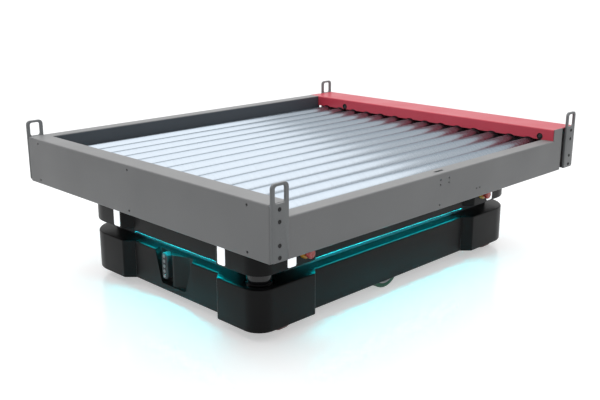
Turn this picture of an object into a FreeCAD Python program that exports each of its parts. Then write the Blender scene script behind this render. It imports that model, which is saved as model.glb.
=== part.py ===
import FreeCAD, Part
import math
import os
import re
import Sketcher

# Autonomous mobile robot with a powered roller bed on top.
# Frame: origin on the floor under the centre, +X along the length (rollers lie along it),
# +Y across, +Z up.  All lengths are millimetres, all angles degrees.

DOC = FreeCAD.newDocument("mobile_robot")

# Driving dimensions: alias, value.
DIMENSIONS = [
    # mobile base, outer envelope
    ("base_length", 1350.0),
    ("base_width", 910.0),
    ("deck_height", 322.0),
    ("skin", 4.0),
    ("overrun", 1.0),
    ("hole_clearance", 1.0),
    # bumpers and lower side panels
    ("bumper_bottom", 31.0),
    ("bumper_top", 165.0),
    ("plain_corner_radius", 115.0),
    ("panel_setback", 30.0),
    ("panel_drop", 1.0),
    ("scanner_bumper_length", 235.0),
    ("scanner_bumper_width", 185.0),
    ("plain_bumper_length", 271.0),
    ("plain_bumper_width", 226.0),
    ("scanner_corner_radius", 60.0),
    ("ledge_depth", 46.0),
    # upper cover
    ("cover_bottom", 197.0),
    ("tower_bottom", 206.0),
    ("cover_drop", 4.0),
    # chassis
    ("chassis_wall", 5.0),
    ("deck_thickness", 8.0),
    ("tub_floor", 60.0),
    ("tub_length", 900.0),
    ("wing_gap", 9.0),
    ("wing_side_gap", 25.0),
    ("pocket_side", 100.0),
    # safety scanners
    ("scanner_inset", 66.0),
    ("scanner_radius", 41.0),
    ("scanner_gap", 7.0),
    ("scanner_box", 62.0),
    # lamps
    ("strip_width", 10.0),
    ("strip_depth", 1.5),
    ("strip_inset", 4.0),
    ("strip_end_gap", 2.0),
    ("strip_corner_inset", 16.0),
    ("strip_corner_length", 40.0),
    ("window_width", 35.0),
    ("window_height", 92.0),
    ("window_bottom", 211.0),
    ("window_proud", 1.0),
    ("window_edge_gap", 8.0),
    ("window_round", 6.0),
    ("long_window_edge_gap", 82.0),
    # emergency stops
    ("stop_edge_gap", 47.0),
    ("stop_level", 246.0),
    ("stop_base_radius", 20.0),
    ("stop_base_depth", 12.0),
    ("stop_head_radius", 15.5),
    ("stop_head_depth", 14.0),
    ("stop_stem_radius", 8.0),
    ("stop_stroke", 6.0),
    ("stop_gap", 1.0),
    ("stop_stem_reach", 24.0),
    # control recess in the front panel
    ("recess_top_left", 83.0),
    ("recess_top_right", 112.0),
    ("recess_foot_left", 52.0),
    ("recess_foot_right", 76.0),
    ("recess_foot", 53.0),
    ("recess_depth", 25.0),
    ("recess_round", 12.0),
    ("ridge_left", 6.0),
    ("ridge_right", 14.0),
    ("ridge_setback", 3.0),
    ("ridge_left_flank", 24.0),
    ("ridge_right_flank", 56.0),
    ("recess_wall_slope", 20.0),
    ("keypad_y", 38.5),
    ("keypad_width", 31.0),
    ("keypad_bottom", 67.0),
    ("keypad_height", 92.0),
    ("keypad_thickness", 21.0),
    ("keypad_round", 14.5),
    ("key_count", 5.0),
    ("key_radius", 5.6),
    ("key_pitch", 17.0),
    ("key_proud", 2.5),
    ("key_grip_width", 2.2),
    ("key_grip_length", 9.0),
    ("key_stroke", 2.0),
    # drive wheels
    ("drive_x", -50.0),
    ("drive_outer_y", 412.0),
    ("drive_radius", 75.0),
    ("drive_width", 50.0),
    ("drive_tread", 15.0),
    ("drive_shaft_radius", 12.0),
    ("motor_radius", 40.0),
    ("motor_length", 150.0),
    ("gearbox_radius", 48.0),
    ("gearbox_length", 60.0),
    ("bracket_plate", 8.0),
    ("bracket_half_length", 112.0),
    ("bracket_height", 100.0),
    ("drive_clearance", 9.0),
    ("bracket_gap", 10.0),
    ("bracket_tongue", 35.0),
    ("shaft_seat", 28.0),
    # swivel casters
    ("caster_x", 548.0),
    ("caster_y", 362.0),
    ("caster_radius", 50.0),
    ("caster_width", 32.0),
    ("caster_tread", 10.0),
    ("caster_trail", 34.0),
    ("caster_axle_radius", 5.0),
    ("fork_plate", 4.0),
    ("fork_width", 30.0),
    ("fork_gap", 2.0),
    ("fork_overhang", 14.0),
    ("crown_gap", 4.0),
    ("running_gap", 0.3),
    ("caster_stem_radius", 10.0),
    ("caster_flange_side", 90.0),
    ("caster_flange", 6.0),
    ("caster_race_radius", 26.0),
    ("caster_race", 15.7),
    # battery and electronics
    ("battery_length", 330.0),
    ("battery_width", 420.0),
    ("battery_height", 150.0),
    ("battery_x", 90.0),
    ("computer_length", 220.0),
    ("computer_width", 360.0),
    ("computer_height", 110.0),
    ("computer_x", -420.0),
    # roller module, outer plates
    ("module_length", 1568.0),
    ("module_width", 1254.0),
    ("module_top", 482.0),
    ("low_side_top", 440.0),
    ("sheet", 3.0),
    ("bend_radius", 1.5),
    ("end_flange", 66.0),
    ("far_flange", 54.0),
    ("low_flange", 48.0),
    ("side_foot", 40.0),
    ("guide_foot", 20.0),
    ("return_flange", 56.0),
    ("red_cover_width", 143.0),
    ("side_start", 64.0),
    ("side_stop", 82.0),
    # lifting lugs
    ("lug_width", 61.0),
    ("lug_thickness", 8.0),
    ("lug_proud", 6.0),
    ("lug_top", 537.0),
    ("lug_bottom", 326.0),
    ("lug_eye_width", 37.0),
    ("lug_eye_height", 46.0),
    ("lug_eye_edge", 8.0),
    ("lug_round", 14.0),
    ("lug_eye_round", 8.0),
    ("lug_foot_round", 8.0),
    # screws
    ("screw_radius", 4.0),
    ("screw_head_radius", 6.0),
    ("screw_head", 1.6),
    ("screw_socket", 2.6),
    ("socket_floor", 0.5),
    ("screw_reach", 12.0),
    ("lug_screw_inset", 27.0),
    ("lug_screw_low", 338.0),
    ("lug_screw_high", 435.0),
    ("lug_screw_span", 33.0),
    ("end_hole_radius", 4.0),
    ("end_hole_edge", 80.5),
    ("end_hole_y", 9.0),
    ("end_hole_low", 337.0),
    ("end_hole_span", 129.0),
    # accessory holes in the low side plate
    ("tool_hole_radius", 3.5),
    ("tool_hole_x", -35.0),
    ("tool_hole_span_x", 45.0),
    ("tool_hole_low", 402.5),
    ("tool_hole_span_z", 16.0),
    ("pair_hole_x", 156.0),
    ("pair_hole_span", 18.0),
    ("pair_hole_z", 354.0),
    ("single_hole_x", -57.5),
    ("single_hole_z", 337.5),
    ("slot_x", -38.0),
    ("slot_length", 46.0),
    ("slot_width", 10.0),
    ("slot_inset", 24.0),
    # rollers
    ("roller_count", 14.0),
    ("bed_far_margin", 110.0),
    ("bed_near_margin", 104.0),
    ("roller_radius", 32.0),
    ("roller_wall", 2.5),
    ("roller_top", 441.0),
    ("roller_end_gap", 6.0),
    ("roller_cap", 14.0),
    ("axle_radius", 6.0),
    ("shaft_clearance", 0.05),
    ("pulley_radius", 21.5),
    ("pulley_length", 30.0),
    ("notch_clearance", 4.0),
    ("belt_width", 10.0),
    ("belt_thickness", 2.5),
    ("belt_clearance", 0.3),
    ("belt_gap", 3.0),
    ("motor_roller_radius", 27.0),
    ("motor_roller_length", 320.0),
    ("motor_gap", 6.0),
    # conveyor frame
    ("tube_height", 40.0),
    ("tube_width", 40.0),
    ("rail_plate", 4.0),
    ("rail_left_inset", 38.0),
    ("rail_right_inset", 94.0),
    ("rail_top", 428.0),
    ("rail_end_gap", 13.0),
    ("tube_wall", 3.0),
    ("long_tube_y", 300.0),
    # photo eyes
    ("eye_radius", 12.0),
    ("eye_lens_radius", 9.0),
    ("eye_depth", 40.0),
    ("eye_rim", 1.5),
    ("eye_level", 452.0),
    ("eye_far_inset", 220.0),
    ("eye_near_inset", 58.0),
]

SHEET = DOC.addObject("Spreadsheet::Sheet", "Sizes")
for row, (alias, value) in enumerate(DIMENSIONS, start=1):
    SHEET.set(f"A{row}", alias)
    SHEET.set(f"B{row}", str(value))
    SHEET.setAlias(f"B{row}", alias)
DOC.recompute()

ALIASES = {alias for alias, _ in DIMENSIONS}
WORD = re.compile(r"[a-z_][a-z0-9_]*")
SUBPARTS = []

# Lines worked out from the driving dimensions.
OUTER_X = "(base_length / 2)"
OUTER_Y = "(base_width / 2)"
PANEL_X = "(base_length / 2 - panel_setback)"
PANEL_Y = "(base_width / 2 - panel_setback)"
CORE_X = "(base_length / 2 - panel_setback - ledge_depth)"
CORE_Y = "(base_width / 2 - panel_setback - ledge_depth)"
PANEL_TOP = "(bumper_top - panel_drop)"
COVER_TOP = "(deck_height - cover_drop)"
CROWN_TOP = "(2 * caster_radius + crown_gap + fork_plate)"
WING_FLOOR = f"({CROWN_TOP} + running_gap + caster_race + caster_flange)"
WING_TOP = f"({WING_FLOOR} + chassis_wall)"
FLOOR_TOP = "(tub_floor + chassis_wall)"
SCANNER_X = "(base_length / 2 - scanner_inset)"
SCANNER_Y = "(base_width / 2 - scanner_inset)"
RECESS_X = f"({PANEL_X} - recess_depth)"
KEYPAD_FACE = f"({RECESS_X} + keypad_thickness)"
BRACKET_Y = "(drive_outer_y - drive_width - bracket_gap - bracket_plate)"
OPENING_HALF = "(drive_radius + drive_clearance)"
END_X = "(module_length / 2)"
SIDE_Y = "(module_width / 2)"
LUG_FACE = f"({SIDE_Y} + lug_proud)"
LUG_BACK = f"({SIDE_Y} + lug_proud - lug_thickness)"
LUG_SCREW_X = f"({END_X} - lug_screw_inset)"
FAR_FACE = f"({SIDE_Y} - far_flange)"
RED_X = f"({END_X} - red_cover_width)"
ROLLER_Z = "(roller_top - roller_radius)"
BED_SPAN = "(module_width - bed_far_margin - bed_near_margin)"
BED_PITCH = f"({BED_SPAN} / (roller_count - 1))"
BED_Y = "((bed_near_margin - bed_far_margin) / 2)"
FRAME_TOP = "(deck_height + tube_height)"
RAIL_LEFT = f"(rail_left_inset - {END_X})"
RAIL_RIGHT = f"({END_X} - rail_right_inset)"
LEFT_RAIL_FACE = f"({RAIL_LEFT} + rail_plate)"
RIGHT_RAIL_FACE = f"({RAIL_RIGHT} + rail_plate)"
ROLLER_START = f"({LEFT_RAIL_FACE} + roller_end_gap)"
ROLLER_STOP = f"({RAIL_RIGHT} - roller_end_gap - pulley_length)"
BEND = "(bend_radius + sheet)"
SHEET_TOP = "(module_top - sheet)"


def bound(words):
    """Turn a formula in alias words into an expression that reads the sheet."""
    return WORD.sub(lambda found: f"Sizes.{found.group()}" if found.group() in ALIASES
                    else found.group(), words)


def number(words):
    """The present value of a formula."""
    return float(SHEET.evalExpression(bound(words)))


def minus(words):
    """The same formula on the other side of the middle."""
    return f"(0 - {words})"


def side(sign, near, far):
    """The lower and upper formula of a stretch on one side of the middle."""
    return (near, far) if sign > 0 else (minus(far), minus(near))


def at(sign, words):
    """A coordinate on one side of the middle."""
    return words if sign > 0 else minus(words)


def around(middle, half):
    """The lower and upper formula of a stretch about its middle."""
    return (f"({middle} - {half})", f"({middle} + {half})")


def block(x, y, z):
    """A box between pairs of lower and upper formulas."""
    thing = DOC.addObject("Part::Box", "block")
    for size, axis, (low, high) in zip(("Length", "Width", "Height"), "xyz", (x, y, z)):
        thing.setExpression(size, bound(f"{high} - {low}"))
        thing.setExpression(f"Placement.Base.{axis}", bound(low))
    return thing


TURNS = {
    "x": FreeCAD.Rotation(FreeCAD.Vector(0, 1, 0), 90),
    "y": FreeCAD.Rotation(FreeCAD.Vector(1, 0, 0), -90),
    "z": FreeCAD.Rotation(),
}


def rod(axis, centre, span, radius):
    """A cylinder along an axis; centre holds its other two coordinates, in x, y, z order."""
    thing = DOC.addObject("Part::Cylinder", "rod")
    thing.Placement = FreeCAD.Placement(FreeCAD.Vector(), TURNS[axis])
    thing.setExpression("Radius", bound(radius))
    thing.setExpression("Height", bound(f"{span[1]} - {span[0]}"))
    thing.setExpression(f"Placement.Base.{axis}", bound(span[0]))
    for name, words in zip([name for name in "xyz" if name != axis], centre):
        thing.setExpression(f"Placement.Base.{name}", bound(words))
    return thing


def fuse(*things):
    """One solid from several that meet."""
    if len(things) == 1:
        return things[0]
    thing = DOC.addObject("Part::MultiFuse", "fuse")
    thing.Shapes = list(things)
    return thing


def cut(base, *tools):
    """The base with every tool taken away."""
    thing = DOC.addObject("Part::Cut", "cut")
    thing.Base = base
    thing.Tool = fuse(*tools)
    return thing


def group(*things):
    """Separate solids kept together in one sub-part."""
    thing = DOC.addObject("Part::Compound", "group")
    thing.Links = list(things)
    return thing


def past(span):
    """A stretch that runs past both ends, for a tool that goes right through."""
    return (f"({span[0]} - overrun)", f"({span[1]} + overrun)")


def ring(axis, centre, span, radius, hole):
    """A plain sleeve."""
    return cut(rod(axis, centre, span, radius), rod(axis, centre, past(span), hole))


def subpart(name, thing):
    """Give a finished sub-part its name."""
    thing.Label = name
    SUBPARTS.append(thing)
    return thing


def new_sketch(body, role, height):
    """A sketch on one of the body's own origin planes, moved along its normal."""
    sketch = body.newObject("Sketcher::SketchObject", "outline")
    plane = next(item for item in body.Origin.OriginFeatures if item.Role == role)
    sketch.AttachmentSupport = [(plane, "")]
    sketch.MapMode = "FlatFace"
    sketch.setExpression("AttachmentOffset.Base.z", bound(height))
    return sketch


def pin_point(sketch, item, point, place, values):
    """Hold a point of the sketch at two formulas."""
    for kind, words, value in zip(("DistanceX", "DistanceY"), place, values):
        index = sketch.addConstraint(Sketcher.Constraint(kind, -1, 1, item, point, value))
        sketch.setExpression(f"Constraints[{index}]", bound(words))


def pad(body, sketch, length):
    """Pad a sketch to a bound length."""
    thing = body.newObject("PartDesign::Pad", "pad")
    thing.Profile = sketch
    thing.setExpression("Length", bound(length))
    body.Tip = thing
    return thing


PLANES = {"xy": "XY_Plane", "xz": "XZ_Plane", "yz": "YZ_Plane"}
NORMALS = {"xy": 2, "xz": 1, "yz": 0}


def outline(plane, points, span, rounds=()):
    """A PartDesign body: a closed outline of straight lines, padded across its plane.

    points are pairs of formulas along the plane's own two axes, span is the lower and the
    upper formula across it, and rounds pairs a point's number with the radius of its corner.
    The normal of the xz plane points along -Y, so its sketch lies on the upper face.
    """
    body = DOC.addObject("PartDesign::Body", "body")
    start = minus(span[1]) if plane == "xz" else span[0]
    sketch = new_sketch(body, PLANES[plane], start)
    corners = [FreeCAD.Vector(number(first), number(second), 0) for first, second in points]
    for index, corner in enumerate(corners):
        sketch.addGeometry(Part.LineSegment(corner, corners[(index + 1) % len(corners)]), False)
    for index in range(len(corners)):
        sketch.addConstraint(Sketcher.Constraint("Coincident", index, 2, (index + 1) % len(corners), 1))
    for index, place in enumerate(points):
        pin_point(sketch, index, 1, place, (corners[index].x, corners[index].y))
    pad(body, sketch, f"{span[1]} - {span[0]}")
    DOC.recompute()
    for index, radius in rounds:
        round_corner(body, plane, corners[index], radius)
    return body


def round_corner(body, plane, corner, radius):
    """Round the edge that stands on one corner of the outline."""
    base = body.Tip
    flat = [axis for axis in range(3) if axis != NORMALS[plane]]
    names = []
    for index, edge in enumerate(base.Shape.Edges, start=1):
        ends = [vertex.Point for vertex in edge.Vertexes]
        if len(ends) == 2 and all(abs(end[flat[0]] - corner.x) + abs(end[flat[1]] - corner.y) < 0.01
                                  for end in ends):
            names.append(f"Edge{index}")
    fillet = body.newObject("PartDesign::Fillet", "round")
    fillet.Base = (base, names)
    fillet.setExpression("Radius", bound(radius))
    body.Tip = fillet
    DOC.recompute()


def slot_line(sketch, low, high, level, radius):
    """A closed slot line: two half circles about (low, level) and (high, level), and their tangents."""
    first, last, height, size = (number(words) for words in (low, high, level, radius))
    up = FreeCAD.Vector(0, 0, 1)
    centres = [FreeCAD.Vector(first, height, 0), FreeCAD.Vector(last, height, 0)]
    quarter = math.pi / 2
    start = sketch.GeometryCount
    sketch.addGeometry(Part.ArcOfCircle(Part.Circle(centres[0], up, size), quarter, 3 * quarter), False)
    sketch.addGeometry(Part.LineSegment(centres[0] - FreeCAD.Vector(0, size, 0),
                                        centres[1] - FreeCAD.Vector(0, size, 0)), False)
    sketch.addGeometry(Part.ArcOfCircle(Part.Circle(centres[1], up, size), -quarter, quarter), False)
    sketch.addGeometry(Part.LineSegment(centres[1] + FreeCAD.Vector(0, size, 0),
                                        centres[0] + FreeCAD.Vector(0, size, 0)), False)
    for step in range(4):
        sketch.addConstraint(Sketcher.Constraint("Tangent", start + step, 2, start + (step + 1) % 4, 1))
    pin_point(sketch, start, 3, (low, level), (first, height))
    pin_point(sketch, start + 2, 3, (high, level), (last, height))
    for item in (start, start + 2):
        index = sketch.addConstraint(Sketcher.Constraint("Radius", item, size))
        sketch.setExpression(f"Constraints[{index}]", bound(radius))


# ---------------------------------------------------------------- base: corner shapes

# Reach along the robot, reach across it and corner radius of each kind of corner.
SCANNER_ARMS = ("scanner_bumper_length", "scanner_bumper_width", "scanner_corner_radius")
PLAIN_ARMS = ("plain_bumper_length", "plain_bumper_width", "plain_corner_radius")
SCANNER_CORNERS = [(-1, -1), (1, 1)]
PLAIN_CORNERS = [(-1, 1), (1, -1)]
CORNERS = ([(signs, SCANNER_ARMS) for signs in SCANNER_CORNERS]
           + [(signs, PLAIN_ARMS) for signs in PLAIN_CORNERS])


def corner_prism(signs, arms, inset, reach, levels):
    """One corner of the base: an L in plan, with a round corner and 45 degree ends.

    inset moves the outer faces inwards and reach carries the other ends outwards, so that
    the same outline makes the shell and the hollow inside it.
    """
    along, across, radius = arms
    lean = f"({inset} * tan(22.5))"
    end_y = f"({OUTER_Y} - {across} - panel_setback - {reach})"
    end_x = f"({OUTER_X} - {along} - panel_setback - {reach})"
    places = [
        (f"({OUTER_X} - {inset})", f"({OUTER_Y} - {across} + {lean})"),
        (f"({PANEL_X} - {inset})", end_y),
        (f"({CORE_X} - {reach})", end_y),
        (f"({CORE_X} - {reach})", f"({CORE_Y} - {reach})"),
        (end_x, f"({CORE_Y} - {reach})"),
        (end_x, f"({PANEL_Y} - {inset})"),
        (f"({OUTER_X} - {along} + {lean})", f"({OUTER_Y} - {inset})"),
        (f"({OUTER_X} - {inset})", f"({OUTER_Y} - {inset})"),
    ]
    points = [(at(signs[0], first), at(signs[1], second)) for first, second in places]
    return outline("xy", points, levels, rounds=[(7, f"{radius} - {inset}")])


def bumper(signs, arms):
    """A corner bumper: a moulded shell, open below and towards the chassis."""
    outside = corner_prism(signs, arms, "0", "0", ("bumper_bottom", "bumper_top"))
    hollow = corner_prism(signs, arms, "skin", "overrun",
                          ("(bumper_bottom - overrun)", "(bumper_top - skin)"))
    return outside, hollow


def scanner_axis(signs):
    """Where a scanner's vertical axis stands."""
    return (at(signs[0], SCANNER_X), at(signs[1], SCANNER_Y))


def make_bumpers():
    """Four corner bumpers; the two with a scanner have a round hole for it."""
    guarded = []
    for signs in SCANNER_CORNERS:
        outside, hollow = bumper(signs, SCANNER_ARMS)
        hole = rod("z", scanner_axis(signs), ("(bumper_top - skin - overrun)", "(bumper_top + overrun)"),
                   "scanner_radius + scanner_gap")
        guarded.append(cut(outside, hollow, hole))
    subpart("scanner_corner_bumpers", group(*guarded))
    subpart("plain_corner_bumpers", group(*[cut(*bumper(signs, PLAIN_ARMS)) for signs in PLAIN_CORNERS]))


# ---------------------------------------------------------------- base: lower panels

def panel_ends(arms_low, arms_high, half, which):
    """The stretch of a panel between the bumpers at its two ends."""
    return (minus(f"({half} - {arms_low[which]} - panel_setback)"),
            f"({half} - {arms_high[which]} - panel_setback)")


def make_side_panels():
    """The two long lower panels: a skirt with a flat ledge on top."""
    panels = []
    for sign in (-1, 1):
        arms = (SCANNER_ARMS, PLAIN_ARMS) if sign < 0 else (PLAIN_ARMS, SCANNER_ARMS)
        run = panel_ends(arms[0], arms[1], OUTER_X, 0)
        skirt = block(run, side(sign, f"({PANEL_Y} - skin)", PANEL_Y), ("bumper_bottom", PANEL_TOP))
        ledge = block(run, side(sign, CORE_Y, PANEL_Y), (f"({PANEL_TOP} - skin)", PANEL_TOP))
        panels.append(fuse(skirt, ledge))
    subpart("side_panels", group(*panels))


def recess_points(grow):
    """The control recess seen from the front: wide at the top, narrow at the foot."""
    return [
        (f"(0 - recess_top_right - {grow})", f"({PANEL_TOP} + overrun)"),
        (f"(0 - recess_foot_right - {grow})", f"(recess_foot - {grow})"),
        (f"(recess_foot_left + {grow})", f"(recess_foot - {grow})"),
        (f"(recess_top_left + {grow})", f"({PANEL_TOP} + overrun)"),
    ]


def recess_ridges():
    """The slopes in the recess, seen from above: the ridge beside the keypad and the right wall."""
    back = minus(RECESS_X)
    crest = minus(f"({PANEL_X} - ridge_setback)")
    foot = "(0 - ridge_right - ridge_right_flank)"
    ridge = [(back, foot), (crest, "(0 - ridge_right)"), (crest, "(0 - ridge_left)"),
             (back, "(ridge_left_flank - ridge_left)")]
    wall = [(back, f"({foot} - recess_wall_slope)"), (back, "(0 - recess_top_right - skin / 2)"),
            (crest, "(0 - recess_top_right - skin / 2)")]
    levels = ("(recess_foot - skin / 2)", PANEL_TOP)
    return [outline("xy", points, levels) for points in (ridge, wall)]


def key_levels():
    """The height of each key in the keypad, from the lowest up."""
    middle = "(keypad_bottom + keypad_height / 2)"
    return [f"({middle} + ({index} - (key_count - 1) / 2) * key_pitch)"
            for index in range(int(number("key_count")))]


def make_end_panels():
    """The front panel with its control recess, and the plain rear panel."""
    panels = []
    for sign in (-1, 1):
        arms = (SCANNER_ARMS, PLAIN_ARMS) if sign < 0 else (PLAIN_ARMS, SCANNER_ARMS)
        run = panel_ends(arms[0], arms[1], OUTER_Y, 1)
        skirt = block(side(sign, f"({PANEL_X} - skin)", PANEL_X), run, ("bumper_bottom", PANEL_TOP))
        ledge = block(side(sign, CORE_X, PANEL_X), run, (f"({PANEL_TOP} - skin)", PANEL_TOP))
        panels.append(fuse(skirt, ledge))
    back = minus(RECESS_X)
    tray = outline("yz", recess_points("skin"), (minus(PANEL_X), f"({back} + skin)"),
                   rounds=[(corner, "recess_round + skin") for corner in (1, 2)])
    above = block((minus(OUTER_X), minus(CORE_X)), (minus(OUTER_Y), OUTER_Y),
                  (PANEL_TOP, f"({PANEL_TOP} + 2 * overrun)"))
    hollow = outline("yz", recess_points("0"), (minus(OUTER_X), back),
                     rounds=[(corner, "recess_round") for corner in (1, 2)])
    bores = [rod("x", ("keypad_y", level), past((back, f"({back} + skin)")), "key_radius + hole_clearance")
             for level in key_levels()]
    front = cut(fuse(cut(fuse(panels[0], cut(tray, above)), hollow), *recess_ridges()), *bores)
    subpart("end_panels", group(front, panels[1]))


# ---------------------------------------------------------------- base: control keypad

def make_keypad():
    """The keypad plate with its push buttons and the mode key."""
    bottom, top = "keypad_bottom", "(keypad_bottom + keypad_height)"
    left, right = around("keypad_y", "keypad_width / 2")
    span = (minus(KEYPAD_FACE), minus(RECESS_X))
    plate = outline("yz", [(left, bottom), (right, bottom), (right, top), (left, top)], span,
                    rounds=[(corner, "keypad_round") for corner in range(4)])
    levels = key_levels()
    bores = [rod("x", ("keypad_y", level), past(span), "key_radius + shaft_clearance") for level in levels]
    subpart("keypad_plate", cut(plate, *bores))
    face = minus(f"({KEYPAD_FACE} + key_proud)")
    reach = (face, f"({face} + key_proud + keypad_thickness + key_stroke)")
    for index, level in enumerate(levels[1:], start=1):
        subpart(f"push_button_{index}", rod("x", ("keypad_y", level), reach, "key_radius"))
    barrel = rod("x", ("keypad_y", levels[0]), reach, "key_radius")
    grip = block((f"({face} - key_proud)", face), around("keypad_y", "(key_grip_width / 2)"),
                 around(levels[0], "(key_grip_length / 2)"))
    subpart("mode_key", fuse(barrel, grip))


# ---------------------------------------------------------------- base: chassis

def wing(sign, inner, outer, half):
    """A plate over the casters at one end, with its free corners rounded."""
    points = [(at(sign, inner), minus(half)), (at(sign, outer), minus(half)), (at(sign, outer), half),
              (at(sign, inner), half)]
    return outline("xy", points, (WING_FLOOR, WING_TOP),
                   rounds=[(corner, "plain_corner_radius - wing_side_gap") for corner in (1, 2)])


def make_chassis():
    """The welded chassis: a tub for the drive, wings over the casters and the load deck."""
    wall = "chassis_wall"
    deck_bottom = "(deck_height - deck_thickness)"
    half_tub = "(tub_length / 2)"
    wing_x = f"({PANEL_X} - wing_gap)"
    wing_y = f"({OUTER_Y} - wing_side_gap)"
    whole_y = (minus(CORE_Y), CORE_Y)
    outside = fuse(
        block((minus(half_tub), half_tub), whole_y, ("tub_floor", WING_TOP)),
        block((minus(CORE_X), CORE_X), whole_y, (WING_FLOOR, "deck_height")),
        *[wing(sign, f"({half_tub} - {wall})", wing_x, wing_y) for sign in (-1, 1)])
    inner_y = (f"({wall} - {CORE_Y})", f"({CORE_Y} - {wall})")
    tub_hollow = block((f"({wall} - {half_tub})", f"({half_tub} - {wall})"), inner_y,
                       (FLOOR_TOP, f"({WING_TOP} + overrun)"))
    upper_hollow = block((f"({wall} - {CORE_X})", f"({CORE_X} - {wall})"), inner_y, (WING_TOP, deck_bottom))
    pockets = []
    pocket_shells = []
    for signs in SCANNER_CORNERS:
        for grow, kept in (("0", pockets), (wall, pocket_shells)):
            kept.append(block(side(signs[0], f"({CORE_X} - pocket_side - {grow})", f"({CORE_X} + overrun)"),
                              side(signs[1], f"({CORE_Y} - pocket_side - {grow})", f"({CORE_Y} + overrun)"),
                              (f"({WING_TOP} - {grow})", f"(tower_bottom + {grow})")))
    hollow = fuse(tub_hollow, cut(upper_hollow, *pocket_shells))
    gates = []
    for sign in (-1, 1):
        gap_x = around("drive_x", OPENING_HALF)
        gates.append(block(gap_x, side(sign, f"({BRACKET_Y} - gearbox_length - motor_length - wing_gap)",
                                       f"({CORE_Y} + overrun)"), past(("tub_floor", FLOOR_TOP))))
        gates.append(block(gap_x, side(sign, f"({CORE_Y} - {wall} - overrun)", f"({CORE_Y} + overrun)"),
                           ("(tub_floor - overrun)", "(2 * drive_radius + drive_clearance)")))
    relief = block((minus(f"({wing_x} + overrun)"), minus(f"({RECESS_X} - skin - wing_gap)")),
                   ("(0 - recess_top_right - wing_gap)", "(recess_top_left + wing_gap)"),
                   past((WING_FLOOR, WING_TOP)))
    subpart("chassis", cut(outside, hollow, fuse(*pockets, *gates, relief)))


# ---------------------------------------------------------------- base: upper cover

def tower_window(signs, arms, on_end):
    """One signal lamp window in a corner tower, on its end face or on its long face."""
    along, across, _ = arms
    levels = ("window_bottom", "(window_bottom + window_height)")
    if on_end:
        near = f"({OUTER_Y} - {across} + window_edge_gap)"
        low, high = side(signs[1], near, f"({near} + window_width)")
        span = side(signs[0], f"({OUTER_X} - skin)", f"({OUTER_X} + window_proud)")
        plane = "yz"
    else:
        near = f"({OUTER_X} - {along} + long_window_edge_gap)"
        low, high = side(signs[0], near, f"({near} + window_width)")
        span = side(signs[1], f"({OUTER_Y} - skin)", f"({OUTER_Y} + window_proud)")
        plane = "xz"
    points = [(low, levels[0]), (high, levels[0]), (high, levels[1]), (low, levels[1])]
    return outline(plane, points, span, rounds=[(corner, "window_round") for corner in range(4)])


def stop_place(signs, arms):
    """The centre of an emergency stop on the long face of a tower."""
    return (at(signs[0], f"({OUTER_X} - {arms[0]} + stop_edge_gap)"), "stop_level")


def within(span, wall):
    """A stretch with a wall taken off both ends."""
    return (f"({span[0]} + {wall})", f"({span[1]} - {wall})")


def cover_band(sign, run, faces, along_x):
    """A straight stretch of the cover: a long tray, open towards the chassis."""
    outer, core = faces
    levels = ("cover_bottom", COVER_TOP)
    hollow = side(sign, f"({core} - overrun)", f"({outer} - skin)")
    sizes = [(run, side(sign, core, outer), levels), (within(run, "skin"), hollow, within(levels, "skin"))]
    return cut(*[block(first, second, height) if along_x else block(second, first, height)
                 for first, second, height in sizes])


def make_upper_cover():
    """The upper cover: four straight bands and four corner towers, with the windows set in them."""
    pieces = []
    for sign in (-1, 1):
        arms = (SCANNER_ARMS, PLAIN_ARMS) if sign < 0 else (PLAIN_ARMS, SCANNER_ARMS)
        pieces.append(cover_band(sign, panel_ends(*arms, OUTER_X, 0), (PANEL_Y, CORE_Y), True))
        pieces.append(cover_band(sign, panel_ends(*arms, OUTER_Y, 1), (PANEL_X, CORE_X), False))
    windows = []
    levels = ("tower_bottom", COVER_TOP)
    for signs, arms in CORNERS:
        lamps = [tower_window(signs, arms, on_end) for on_end in (True, False)]
        stem = rod("y", stop_place(signs, arms), past(side(signs[1], f"({OUTER_Y} - skin)", OUTER_Y)),
                   "stop_stem_radius + hole_clearance")
        hollow = corner_prism(signs, arms, "skin", "overrun", within(levels, "skin"))
        pieces.append(cut(corner_prism(signs, arms, "0", "0", levels), hollow, stem, *lamps))
        windows += lamps
    subpart("upper_cover", group(*pieces))
    subpart("signal_windows", group(*windows))


def make_light_strips():
    """Light strips under the cover, and a short one under the end of each scanner tower."""
    levels = ("(cover_bottom - strip_depth)", "cover_bottom")
    strips = []
    for sign in (-1, 1):
        arms = (SCANNER_ARMS, PLAIN_ARMS) if sign < 0 else (PLAIN_ARMS, SCANNER_ARMS)
        run_x, run_y = (within(panel_ends(*arms, half, which), "strip_end_gap")
                        for which, half in enumerate((OUTER_X, OUTER_Y)))
        edge_x, edge_y = (side(sign, f"({edge} - strip_inset - strip_width)", f"({edge} - strip_inset)")
                          for edge in (PANEL_X, PANEL_Y))
        strips += [block(run_x, edge_y, levels), block(edge_x, run_y, levels)]
        start = f"({OUTER_Y} - {SCANNER_ARMS[1]} - panel_setback)"
        edge = f"({OUTER_X} - strip_corner_inset)"
        strips.append(block(side(sign, f"({edge} - strip_width)", edge),
                            side(sign, f"({start} + panel_setback)",
                                 f"({start} + panel_setback + strip_corner_length)"),
                            ("(tower_bottom - strip_depth)", "tower_bottom")))
    subpart("light_strips", group(*strips))


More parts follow.
